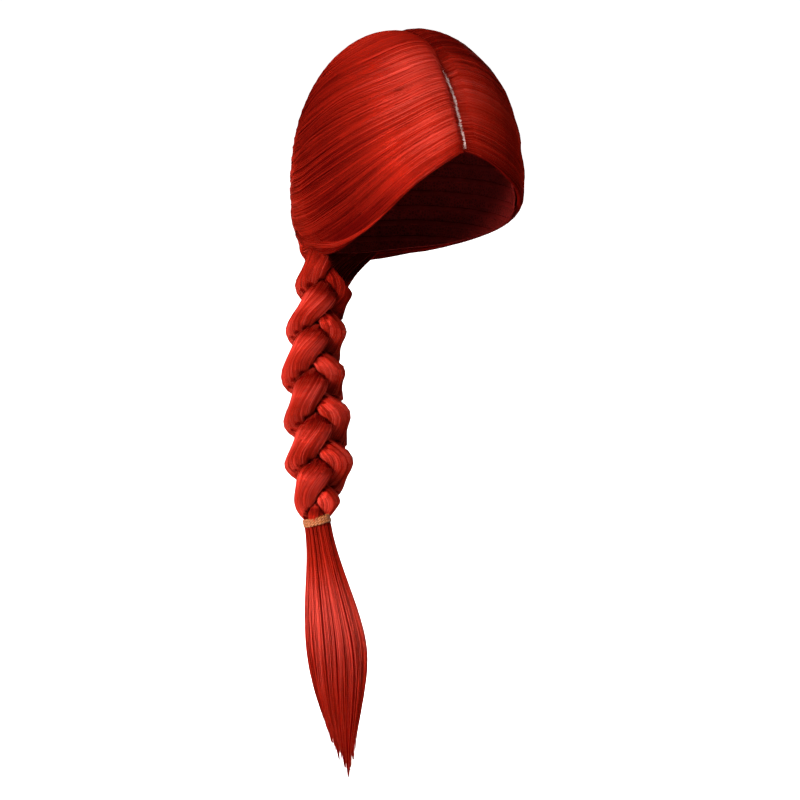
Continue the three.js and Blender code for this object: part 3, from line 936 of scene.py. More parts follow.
@dataclass
class HairPanel:
    """Hair swept from the parting over one side of the head to the braid root."""

    name: str
    form: HairFlow
    flow: HairFlow
    fibres: int
    seed: int
    side_shade: Shade
    steps: int = 26
    tuck_steps: int = 4
    step_growth: float = 1.3
    tuck_length: float = 8.0
    tuck_turn: float = 0.6 * math.pi
    root_depth: float = 0.42
    root_rise: float = 0.3
    end_depth: float = 0.42
    end_fall: float = 0.12
    edge_depth: float = 0.35
    edge_rise: float = 0.1
    ripple_height: float = 0.7
    ripples: float = 7.0
    ripple_growth: float = 3.0
    lookup_points: int = 4
    lookup_softness: float = 1e-4
    root_lift: float = 0.35
    root_layer: float = 0.3
    root_reach: Pair = (0.8, 2.4)
    root_crossing: float = 0.24
    crossing_reach: float = -0.3
    root_close: float = 10.0
    root_sway: float = 0.45
    sway_waves: tuple[float, ...] = (17.0, 41.0)
    fine_sway: float = 0.7
    seam_rise: float = 14.0
    seam_lap: float = -0.3
    back_shade: float = 0.3
    back_angle: float = 64.0
    back_blend: float = 20.0
    back_fade: Shade = Shade(1.0, 0.0, 0.28)
    under_share: float = 0.84
    under_start: float = 0.1
    under_rise: float = 0.07
    clumps: int = 130
    clump_pull: float = 0.2
    clump_spread: Pair = (0.3, 0.7)
    clump_growth: float = 2.5
    drift: float = 0.004
    drift_growth: float = 4.0
    layers: Pair = (0.945, 1.012)
    layer_drift: float = 0.01
    stray_share: float = 0.006
    stray_lift: Pair = (0.03, 0.1)
    end_tapers: Pair = (0.5, 0.4)
    tint: Pair = (0.55, 0.11)
    clump_tint: float = 0.05
    crown_light: Shade = Shade(0.18, 0.12, 0.13)
    front_shade: float = 0.2
    front_width: float = 0.2
    rim_light: Shade = Shade(0.26, 0.74, 0.12)
    rim_start: float = 0.15
    rim_blend: float = 0.2
    under_grid: tuple[int, int] = (81, 61)

    def depth(self, along: np.ndarray, across: np.ndarray) -> np.ndarray:
        """Measures how far the panel's outer face stands off the cap."""
        rise = mix(self.root_depth, 1.0, quarter_round(along / self.root_rise))
        close = mix(self.end_depth, 1.0, quarter_round((1.0 - along) / self.end_fall))
        edge = mix(self.edge_depth, 1.0, quarter_round(across / self.edge_rise))
        ripple = self.ripple_height * np.cos(FULL_TURN * self.ripples * across)
        ripple = ripple * smooth(along * self.ripple_growth)
        depths = column([lock.depth for lock in self.form.locks], across)
        return depths * rise * close * edge + ripple * close

    def depth_towards(self, directions: np.ndarray) -> np.ndarray:
        """Measures the panel's depth in directions that needn't follow its own grid.

        Args:
            directions: Directions from the head's centre.

        Returns:
            A depth for each direction.
        """
        rows, columns = self.form.grid
        along, across = even_grid(rows, columns)
        depths = self.depth(along, across).ravel()
        tree = KDTree(len(depths))
        for index, place in enumerate(self.form.directions.reshape(-1, 3)):
            tree.insert(place, index)
        tree.balance()
        found = np.empty(len(directions.reshape(-1, 3)))
        for index, place in enumerate(directions.reshape(-1, 3)):
            near = tree.find_n(place, self.lookup_points)
            weights = np.array([1.0 / (distance + self.lookup_softness) for _, _, distance in near])
            values = np.array([depths[item] for _, item, _ in near])
            found[index] = np.sum(weights * values) / np.sum(weights)
        return found.reshape(directions.shape[:-1])

    def under_form(self, finish: bpy.types.Material) -> bpy.types.Object:
        """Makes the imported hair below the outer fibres."""
        rows, columns = self.under_grid
        along, across = even_grid(rows, columns)
        directions = self.form.look_up(along, across)
        share = self.under_share * mix(self.under_start, 1.0, smooth(along / self.under_rise))
        outer = HEAD.point(directions, BED + self.depth(along, across) * share)
        inner = HEAD.point(directions, np.full(along.shape, BED))
        form = FormMesh()
        form.add_shell(outer, inner, np.stack([along, across], axis=-1), flip=self.form.side is Side.LEFT)
        return form.build(self.name + "_body", finish)

    def tucked(self, points: np.ndarray) -> np.ndarray:
        """Carries fibres on past the root, curling inwards under the panel.

        Args:
            points: Points of the fibres, shaped (fibres, samples, 3).

        Returns:
            The points with the tucked ends added.
        """
        end = points[:, -1]
        ahead = unit(end - points[:, -3])
        inwards = unit(HEAD.centre - end)
        turn = np.linspace(0.0, self.tuck_turn, self.tuck_steps + 1)[1:]
        forward = self.tuck_length * np.sin(turn)[None, :, None]
        under = self.tuck_length * (1.0 - np.cos(turn))[None, :, None]
        added = end[:, None] + ahead[:, None] * forward + inwards[:, None] * under
        return HEAD.keep_clear(np.concatenate([points, added], axis=1), BED)

    def roots(self, across: np.ndarray, rng: np.random.Generator) -> np.ndarray:
        """Places the roots of the fibres on the parting strip, and in the seam behind it.

        Args:
            across: Place of each fibre across the flow.
            rng: Source of random numbers.

        Returns:
            Points in millimetres, shaped (fibres, 3).
        """
        angles = self.flow.leaving_angle(across)
        past_lead = angles - self.flow.strip_end + self.root_close
        closing = smooth(past_lead / self.flow.close_length)
        reach = rng.uniform(*self.root_reach, len(across))
        crossing = rng.uniform(0.0, 1.0, len(across)) < self.root_crossing
        crossed = rng.uniform(self.crossing_reach, self.root_reach[0], len(across))
        reach = np.where(crossing, crossed, reach)
        coarse, fine = (np.sin(waves * np.radians(angles)) for waves in self.sway_waves)
        sway = self.root_sway * (coarse + self.fine_sway * fine) * (1.0 - closing)
        sideways = mix(reach, self.seam_lap, closing) * self.flow.side.value + sway
        directions = np.stack([parting_direction(a, s) for a, s in zip(angles, sideways)])
        seam = smooth(past_lead / self.seam_rise - 0.5)
        lift = mix(self.root_lift, self.depth_towards(directions), seam)
        return HEAD.point(directions, BED + lift + rng.uniform(0.0, self.root_layer, len(across)))

    def fibre_bundle(self) -> FibreBundle:
        """Lays fibres along the panel, gathered into fine locks.

        Returns:
            The bundle of fibres.
        """
        rng = np.random.default_rng(self.seed)
        along = np.linspace(0.0, 1.0, self.steps + 1) ** self.step_growth
        places = spaced(rng, self.fibres)
        number = np.minimum((places * self.clumps).astype(int), self.clumps - 1)
        clump = (number + rng.uniform(*self.clump_spread, self.clumps)[number]) / self.clumps
        pull = self.clump_pull * smooth(along * self.clump_growth)[None, :]
        across = mix(places[:, None], clump[:, None], pull)
        drift = self.drift * wander(rng, self.fibres, along, waves=2)
        across = across + drift * smooth(along * self.drift_growth)[None, :]
        layer = rng.uniform(*self.layers, (self.fibres, 1))
        layer = layer + self.layer_drift * wander(rng, self.fibres, along, waves=3)
        stray = rng.uniform(0.0, 1.0, (self.fibres, 1)) < self.stray_share
        lift = stray * rng.uniform(*self.stray_lift, (self.fibres, 1))
        layer = layer + lift * np.sin(math.pi * along)[None, :]
        directions = self.flow.look_up(np.broadcast_to(along[None, :], across.shape), across)
        points = HEAD.point(directions, BED + self.depth_towards(directions) * layer)
        points[:, 0] = self.roots(places, rng)
        points = self.tucked(points)
        locks = rng.normal(0.0, self.clump_tint, self.clumps)[number]
        tints = rng.normal(*self.tint, self.fibres) + locks
        # The tint carries painted light and shade: a painted highlight near the crown, painted shade on the
        # side, along the front edge and behind the crown, and a painted rim highlight.
        lit = self.crown_light.at(along) - self.side_shade.at(along)
        tints = tints - self.front_shade * smooth(1.0 - places / self.front_width)
        past_crown = self.flow.leaving_angle(places) - self.back_angle
        behind = self.back_shade * smooth(past_crown / self.back_blend)
        past_front = smooth((places - self.rim_start) / self.rim_blend)
        tints = tints[:, None] + lit[None, :] - behind[:, None] * self.back_fade.at(along)[None, :]
        tints = tints + past_front[:, None] * self.rim_light.at(along)[None, :]
        tints = np.clip(np.pad(tints, ((0, 0), (0, self.tuck_steps)), mode="edge"), 0.0, 1.0)
        taper = np.ones(points.shape[1])
        taper[[0, -1]] = self.end_tapers
        return FibreBundle(points, fibre_radii(rng, self.fibres, taper), tints)


@dataclass
class BorderRoll:
    """Rounded lower border of a panel, where its hair turns under above the braid root."""

    name: str
    turns: tuple[float, ...]
    rises: tuple[float, ...]
    depths: tuple[float, ...]
    girths: tuple[float, ...]
    # Mean tint, set below the panels' as painted shade where the hair turns under.
    tint: float
    seed: int
    fibres: int = 120
    steps: int = 27
    turning: float = 0.25
    packing: float = 0.35
    tint_spread: float = 0.12

    def fibre_bundle(self) -> FibreBundle:
        """Lays fibres along the border.

        Returns:
            The bundle of fibres.
        """
        rng = np.random.default_rng(self.seed)
        shares = np.linspace(0.0, 1.0, self.steps + 1)
        stations = direction(np.array(self.turns), np.array(self.rises))
        directions = unit(spline(stations, shares))
        path = HEAD.point(directions, BED + column(list(self.depths), shares))
        along = unit(np.gradient(path, axis=0))
        beside = unit(np.cross(along, directions))
        angle = rng.uniform(0.0, FULL_TURN, (self.fibres, 1))
        angle = angle + self.turning * wander(rng, self.fibres, shares, waves=3)
        girth = np.sqrt(rng.uniform(self.packing, 1.0, (self.fibres, 1)))
        girth = girth * column(list(self.girths), shares)[None, :]
        points = path + (girth * np.cos(angle))[..., None] * directions
        points = points + (girth * np.sin(angle))[..., None] * beside
        return plain_fibres(rng, HEAD.keep_clear(points, BED), self.tint, self.tint_spread)


@dataclass(frozen=True)
class BraidSection:
    """Section of the braid: its place, how far the strands weave, and the size of one strand."""

    x: float
    y: float
    z: float
    swing: float
    cross: float
    half_width: float
    half_depth: float


@dataclass
class Braid:
    """Three strands woven down from the root to the elastic."""

    sections: tuple[BraidSection, ...] = (
        BraidSection(-63.0, 14.0, -155.0, 9.0, 5.5, 11.5, 9.0),
        BraidSection(-67.0, 6.0, -176.0, 10.0, 6.5, 12.0, 10.0),
        BraidSection(-78.0, 0.0, -214.5, 10.5, 6.8, 12.0, 10.0),
        BraidSection(-84.5, -8.0, -245.0, 11.5, 7.0, 12.5, 10.5),
        BraidSection(-86.0, -18.0, -280.0, 12.0, 7.5, 13.5, 10.5),
        BraidSection(-89.0, -27.0, -315.0, 12.5, 7.5, 13.5, 10.5),
        BraidSection(-93.5, -33.0, -340.0, 8.5, 5.5, 9.5, 8.0),
        BraidSection(-94.6, -36.0, -355.5, 3.8, 3.0, 5.0, 4.6),
    )
    facing: float = -14.0
    tail_facing: float = 16.0
    pitch: float = 102.0
    phase: float = 77.0
    strands: int = 3
    length_samples: int = 253
    strand_gap: float = 0.4
    least_facing: float = 0.02
    out_of_reach: float = 1e6
    rounding: float = 7.0
    front_bulge: float = 3.0
    lobe_fill: float = 0.22
    depth_lags: Pair = (-8.0, 15.0)
    inner_fill: float = 5.0
    fill_start: float = 80.0
    fill_length: float = 110.0
    fibres: int = 320
    steps: int = 54
    lay: float = 40.0
    drift: float = 0.06
    layers: Pair = (0.965, 1.005)
    layer_drift: float = 0.01
    under_share: float = 0.91
    under_sides: int = 36
    under_steps: int = 150
    flow_length: float = 3.0
    core_share: float = 0.42
    clumps: int = 80
    clump_relief: float = 0.002
    clump_tint: float = 0.06
    ripples: int = 9
    ripple_height: float = 0.004
    ripple_lean: float = 5.0
    tint: Pair = (0.65, 0.13)
    pressed_shade: float = 0.46
    pressed_blend: float = 0.6
    root_shade: float = 0.6
    root_length: float = 0.36
    outer_root_shade: float = 0.28
    outer_root_length: float = 0.22
    emerging_shade: float = 0.5
    emerging_turn: float = 46.0
    emerging_near: float = 0.5
    emerging_slim: float = 0.1
    turning_shade: Shade = Shade(0.15, 96.0, 26.0)
    seed: int = 31

    def size(self, name: str, shares: np.ndarray) -> np.ndarray:
        """Follows one size of the sections down the braid."""
        return section_sizes(self.sections, name, shares)

    def axis(self, shares: np.ndarray) -> np.ndarray:
        """Gives points of the braid's centre line."""
        return spline(section_path(self.sections), shares)

    def frame_axes(self, shares: np.ndarray, facing: float) -> tuple[np.ndarray, np.ndarray, np.ndarray]:
        """Gives the braid's own axes.

        Args:
            shares: Shares of the way down the sections.
            facing: Degrees by which the front turns from the brow towards the wearer's right.

        Returns:
            Unit vectors sideways, to the front, and along the braid.
        """
        along = tangents(section_path(self.sections), shares)
        turn = math.radians(facing)
        side = np.array([math.cos(turn), -math.sin(turn), 0.0])
        side = unit(side - along * (along @ side)[:, None])
        return side, np.cross(along, side), along

    def turns(self, shares: np.ndarray) -> np.ndarray:
        """Gives how far each strand has turned in its weave.

        Args:
            shares: Shares of the way down the sections.

        Returns:
            Angles in radians, shaped (strands, shares).
        """
        lengths = np.interp(shares, *measured(section_path(self.sections), self.length_samples))
        strand = np.arange(self.strands)[:, None] / self.strands
        return FULL_TURN * (lengths[None, :] / self.pitch + strand) + math.radians(self.phase)

    def centres(self, shares: np.ndarray) -> np.ndarray:
        """Gives each strand's centre beside the axis.

        Args:
            shares: Shares of the way down the sections.

        Returns:
            Sideways and depth distances, shaped (strands, shares, 2).
        """
        turn = self.turns(shares)
        swing = self.size("swing", shares)
        cross = self.size("cross", shares)
        outer, inner = self.depth_lags
        lag = np.radians(mix(outer, inner, (1.0 + np.cos(turn)) / 2.0))
        return np.stack([swing * np.sin(turn), cross * np.sin(2.0 * turn - lag)], axis=-1)

    def reach(self, strand: int, shares: np.ndarray, angles: np.ndarray) -> tuple[np.ndarray, np.ndarray]:
        """Measures a strand from its centre, pressed flat against the others.

        Args:
            strand: Number of the strand.
            shares: Shares of the way down, shaped (samples,).
            angles: Angles round the strand, shaped (fibres, samples).

        Returns:
            Distances, shaped (fibres, samples), and how free the strand's face is there, from 0 to 1.
        """
        centres = self.centres(shares)
        rays = np.stack([np.cos(angles), np.sin(angles)], axis=-1)
        wide = self.size("half_width", shares)
        deep = self.size("half_depth", shares)
        swung = np.abs(centres[strand, :, 0]) / self.size("swing", shares)
        # Fullest halfway out, where the four makes the product 1.
        fuller = self.lobe_fill * 4.0 * swung * (1.0 - swung)
        outward = rays[..., 0] * centres[strand, :, 0] > 0.0
        limits = [1.0 / np.hypot(rays[..., 0] / (wide * (1.0 + fuller * outward)), rays[..., 1] / deep)]
        for other in range(self.strands):
            if other == strand:
                continue
            towards = centres[other] - centres[strand]
            apart = np.linalg.norm(towards, axis=-1)
            facing = np.sum(rays * towards[None], axis=-1) / apart
            in_front = (centres[strand, :, 1] - centres[other, :, 1]) / apart
            half = apart / 2.0 - self.strand_gap / 2.0 + self.front_bulge * in_front
            pressed = half / np.maximum(facing, self.least_facing)
            limits.append(np.where(facing > self.least_facing, pressed, self.out_of_reach))
        total = sum(limit ** -self.rounding for limit in limits)
        distance = total ** (-1.0 / self.rounding)
        return distance, np.clip(distance / limits[0], 0.0, 1.0)

    def place(self, strand: int, shares: np.ndarray, angles: np.ndarray, part: np.ndarray) -> np.ndarray:
        """Gives points in a strand.

        Args:
            strand: Number of the strand.
            shares: Shares of the way down, shaped (samples,).
            angles: Angles round the strand, shaped (fibres, samples).
            part: Share of the way from the strand's centre to its face.

        Returns:
            Points in millimetres, shaped (fibres, samples, 3).
        """
        side, front, _ = self.frame_axes(shares, self.facing)
        centre = self.centres(shares)[strand]
        reach = self.reach(strand, shares, angles)[0] * part
        turn = np.degrees(self.turns(shares)[strand]) % 360.0
        filled = np.clip((turn - self.fill_start) / self.fill_length, 0.0, 1.0)
        closing = np.sin(math.pi * filled) ** 2
        closing = closing * self.size("swing", shares) / self.sections[0].swing
        fill = self.inner_fill * closing * np.maximum(np.cos(angles), 0.0)
        sideways = (centre[:, 0] + reach * np.cos(angles) + fill)[..., None]
        forward = (centre[:, 1] + reach * np.sin(angles))[..., None]
        points = self.axis(shares) + sideways * side + forward * front
        return HEAD.keep_clear(points, BED)

    def under_form(self, strand: int, finish: bpy.types.Material) -> bpy.types.Object:
        """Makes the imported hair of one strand."""
        shares = np.linspace(0.0, 1.0, self.under_steps + 1)
        angles = np.linspace(0.0, FULL_TURN, self.under_sides, endpoint=False)
        around = np.broadcast_to(angles[:, None], (self.under_sides, len(shares)))
        lines = self.place(strand, shares, around, np.full(around.shape, self.under_share))
        form = FormMesh()
        form.add_loft(lines, shares * self.flow_length)
        if strand == 0:
            form.add_loft(self.core(shares, around), shares * self.flow_length)
        return form.build(f"braid_strand_{strand + 1}_body", finish)

    def core(self, shares: np.ndarray, angles: np.ndarray) -> np.ndarray:
        """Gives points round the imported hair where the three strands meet.

        Args:
            shares: Shares of the way down, shaped (samples,).
            angles: Angles round the braid's axis, shaped (sides, samples).

        Returns:
            Points in millimetres, shaped (sides, samples, 3).
        """
        side, front, _ = self.frame_axes(shares, self.facing)
        reach = self.core_share * self.size("half_depth", shares)
        points = self.axis(shares) + (reach * np.cos(angles))[..., None] * side
        points = points + (reach * np.sin(angles))[..., None] * front
        return HEAD.keep_clear(points, BED)

    def fibre_bundle(self, strand: int) -> FibreBundle:
        """Lays fibres along one strand.

        Args:
            strand: Number of the strand.

        Returns:
            The bundle of fibres.
        """
        rng = np.random.default_rng(self.seed + strand)
        shares = np.linspace(0.0, 1.0, self.steps + 1)
        start = spaced(rng, self.fibres) * FULL_TURN
        across = np.sin(self.turns(shares)[strand])[None, :] * np.sin(start)[:, None]
        angles = start[:, None] - math.radians(self.lay) * across
        angles = angles + self.drift * wander(rng, self.fibres, shares, waves=5)
        part = rng.uniform(*self.layers, (self.fibres, 1))
        part = part + self.layer_drift * wander(rng, self.fibres, shares, waves=6)
        part = part + self.ripple_height * np.cos(self.ripples * angles + self.ripple_lean * shares[None, :])
        number = np.minimum((start / FULL_TURN * self.clumps).astype(int), self.clumps - 1)
        part = part + rng.normal(0.0, self.clump_relief, self.clumps)[number][:, None]
        past = np.degrees(self.turns(shares)[strand]) % 360.0
        emerging = smooth(1.0 - (past % 180.0) / self.emerging_turn)
        emerging = (emerging * np.where(past < 180.0, self.emerging_near, 1.0))[None, :]
        part = part * (1.0 - self.emerging_slim * emerging)
        points = self.place(strand, shares, angles, part)
        # The tint carries painted shade: where the strands press together, where a strand comes out from
        # under the others, at the root and where a strand turns behind.
        free = self.reach(strand, shares, angles)[1]
        pressed = self.pressed_shade * smooth((1.0 - free) / self.pressed_blend)
        locks = rng.normal(0.0, self.clump_tint, self.clumps)[number][:, None]
        inner = self.centres(shares)[strand, :, 0] > 0.0
        inner_root_shade = self.root_shade * smooth(1.0 - shares / self.root_length)
        outer = self.outer_root_shade * smooth(1.0 - shares / self.outer_root_length)
        turning = self.turning_shade.at(past % 180.0)
        shade = pressed + self.emerging_shade * emerging
        shade = shade + (np.where(inner, inner_root_shade, outer) + turning)[None, :]
        tints = np.clip(rng.normal(*self.tint, (self.fibres, 1)) + locks - shade, 0.0, 1.0)
        return FibreBundle(points, fibre_radii(rng, self.fibres, np.ones(len(shares))), tints)


@dataclass
class RootWrap:
    """Lock of hair wound round the top of the braid, just below the panel."""

    fibres: int = 110
    turns: Pair = (335.0, 5.0)
    size: Pair = (16.0, 13.0)
    girth: float = 4.2
    drop: float = 2.5
    samples: int = 25
    place: float = 0.02
    packing: float = 0.3
    taper: float = 0.16
    start: float = 0.5
    drift: float = 0.8
    tint: Pair = (0.45, 0.13)
    seed: int = 121

    def fibre_bundle(self, braid: Braid) -> FibreBundle:
        """Winds the fibres.

        Args:
            braid: Braid that they are wound round.

        Returns:
            The bundle of fibres.
        """
        rng = np.random.default_rng(self.seed)
        shares = np.linspace(0.0, 1.0, self.samples)
        turn = np.radians(mix(*self.turns, shares))
        side, front, along = (axis[0] for axis in braid.frame_axes(np.array([self.place]), braid.facing))
        angle = rng.uniform(0.0, FULL_TURN, (self.fibres, 1))
        opening = smooth(shares / self.taper)
        girth = self.girth * np.sqrt(rng.uniform(self.packing, 1.0, (self.fibres, 1))) * opening[None, :]
        out = girth * np.cos(angle) + self.drift * wander(rng, self.fibres, shares, waves=3)
        down = girth * np.sin(angle) + self.drop * shares[None, :]
        down = down + self.drift * wander(rng, self.fibres, shares, waves=3)
        wide, deep = (size * mix(self.start, 1.0, opening) for size in self.size)
        points = braid.axis(np.array([0.0]))[0] + along * down[..., None]
        points = points + side * ((wide + out) * np.cos(turn))[..., None]
        points = points + front * ((deep + out) * np.sin(turn))[..., None]
        return plain_fibres(rng, HEAD.keep_clear(points, BED), *self.tint)


@dataclass
class StrayHairs:
    """Short hairs that stand out of the sides of the braid."""

    fibres: int = 110
    samples: int = 9
    begin: Pair = (0.05, 0.86)
    length: Pair = (0.05, 0.1)
    turn: float = 0.35
    lift: Pair = (0.15, 0.55)
    curve: float = 1.6
    radii: Pair = (0.13, 0.06)
    tints: Pair = (0.4, 0.9)
    seed: int = 81

    def fibre_bundle(self, braid: Braid) -> FibreBundle:
        """Lets the hairs leave the strands.

        Args:
            braid: Braid that they belong to.

        Returns:
            The bundle of fibres.
        """
        rng = np.random.default_rng(self.seed)
        rising = np.linspace(0.0, 1.0, self.samples) ** self.curve
        radii = np.linspace(*self.radii, self.samples)[None, :]
        bundles = []
        for _ in range(self.fibres):
            strand = int(rng.integers(braid.strands))
            begin = rng.uniform(*self.begin)
            shares = np.linspace(begin, begin + rng.uniform(*self.length), self.samples)
            angle = rng.choice([0.0, math.pi]) + rng.normal(0.0, self.turn)
            lift = 1.0 + rng.uniform(*self.lift) * rising
            points = braid.place(strand, shares, np.full((1, self.samples), angle), lift[None, :])
            tints = np.full((1, self.samples), rng.uniform(*self.tints))
            bundles.append(FibreBundle(points, radii, tints))
        return FibreBundle.joined(bundles)


@dataclass(frozen=True)
class NapeSection:
    """Section of the nape lock: its place, half its height as it hangs and half its thickness."""

    x: float
    y: float
    z: float
    rise: float
    depth: float


@dataclass
class NapeLock:
    """Hair drawn from the nape to the back of the braid."""

    sections: tuple[NapeSection, ...] = (
        NapeSection(10.0, 69.0, -158.0, 6.0, 3.5),
        NapeSection(-15.0, 61.0, -168.0, 12.0, 6.0),
        NapeSection(-37.0, 48.0, -180.0, 17.0, 7.5),
        NapeSection(-55.0, 31.0, -196.0, 18.5, 7.5),
        NapeSection(-67.0, 19.0, -214.0, 11.0, 5.5),
        NapeSection(-75.0, 11.0, -233.0, 2.5, 2.0),
    )
    fibres: int = 190
    steps: int = 20
    drift: float = 0.12
    layers: Pair = (0.9, 1.02)
    tint: Pair = (0.45, 0.13)
    under_share: float = 0.86
    under_sides: int = 20
    under_steps: int = 40
    seed: int = 91

    def place(self, shares: np.ndarray, across: np.ndarray) -> np.ndarray:
        """Gives points in the lock.

        Args:
            shares: Shares of the way along the sections.
            across: Places in the section, of -1 to 1 each way, shaped (fibres, samples, 2).

        Returns:
            Points in millimetres, shaped (fibres, samples, 3).
        """
        path = section_path(self.sections)
        along = tangents(path, shares)
        hang = unit(np.array([0.0, 0.0, -1.0]) + along * along[:, 2:])
        out = np.cross(along, hang)
        rise = across[..., 0] * section_sizes(self.sections, "rise", shares)
        depth = across[..., 1] * section_sizes(self.sections, "depth", shares)
        points = spline(path, shares) + rise[..., None] * hang + depth[..., None] * out
        return HEAD.keep_clear(points, BED)

    def under_form(self, finish: bpy.types.Material) -> bpy.types.Object:
        """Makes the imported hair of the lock."""
        shares = np.linspace(0.0, 1.0, self.under_steps + 1)
        across = section_rings(self.under_sides, len(shares), self.under_share)
        form = FormMesh()
        form.add_loft(self.place(shares, across), shares)
        return form.build("nape_lock_body", finish)

    def fibre_bundle(self) -> FibreBundle:
        """Lays fibres along the lock.

        Returns:
            The bundle of fibres.
        """
        rng = np.random.default_rng(self.seed)
        shares = np.linspace(0.0, 1.0, self.steps + 1)
        angle = spaced(rng, self.fibres) * FULL_TURN
        angles = angle[:, None] + self.drift * wander(rng, self.fibres, shares, waves=4)
        part = rng.uniform(*self.layers, (self.fibres, 1))
        across = np.stack([np.cos(angles) * part, np.sin(angles) * part], axis=-1)
        return plain_fibres(rng, self.place(shares, across), *self.tint)


@dataclass
class ElasticTie:
    """Elastic cord wound round the end of the braid."""

    centre: Place = (-94.6, -36.0, -354.5)
    half_width: float = 9.6
    half_depth: float = 8.4
    tilt: float = 12.0
    turns: int = 3
    rise: float = 2.7
    cord_radius: float = 1.25
    ply_radius: float = 0.72
    ply_overlap: float = 0.32
    ply_tints: Pair = (0.75, 1.0)
    ply_sides: int = 10
    plies: int = 2
    twists: float = 11.0
    steps_per_turn: int = 56

    def bundle(self, braid: Braid) -> FibreBundle:
        """Winds the plies of the cord.

        Args:
            braid: Braid whose last section gives the axes.

        Returns:
            The plies as lines.
        """
        side, front, along = (axis[0] for axis in braid.frame_axes(np.array([1.0]), braid.tail_facing))
        tilt = math.radians(self.tilt)
        tilted_side = side * math.cos(tilt) - along * math.sin(tilt)
        tilted_along = np.cross(tilted_side, front)
        count = self.turns * self.steps_per_turn + 1
        turn = np.linspace(0.0, FULL_TURN * self.turns, count)
        height = np.linspace(-0.5, 0.5, count) * self.rise * (self.turns - 1)
        lines = []
        for ply in range(self.plies):
            twist = turn * self.twists + FULL_TURN * ply / self.plies
            out = self.ply_radius * np.cos(twist)
            up = height + self.ply_radius * np.sin(twist)
            line = np.array(self.centre) + tilted_along * up[:, None]
            line = line + tilted_side * ((self.half_width + out) * np.cos(turn))[:, None]
            lines.append(line + front * ((self.half_depth + out) * np.sin(turn))[:, None])
        radii = np.full((self.plies, count), self.cord_radius - self.ply_radius + self.ply_overlap)
        tints = np.repeat(np.linspace(*self.ply_tints, self.plies)[:, None], count, axis=1)
        return FibreBundle(np.array(lines), radii, tints)


@dataclass(frozen=True)
class TailLock:
    """Lock of the tail: its widest point beside the axis, its tip, its share of the length and its size."""

    side: float
    front: float
    tip_side: float
    length: float
    half_width: float
    half_depth: float


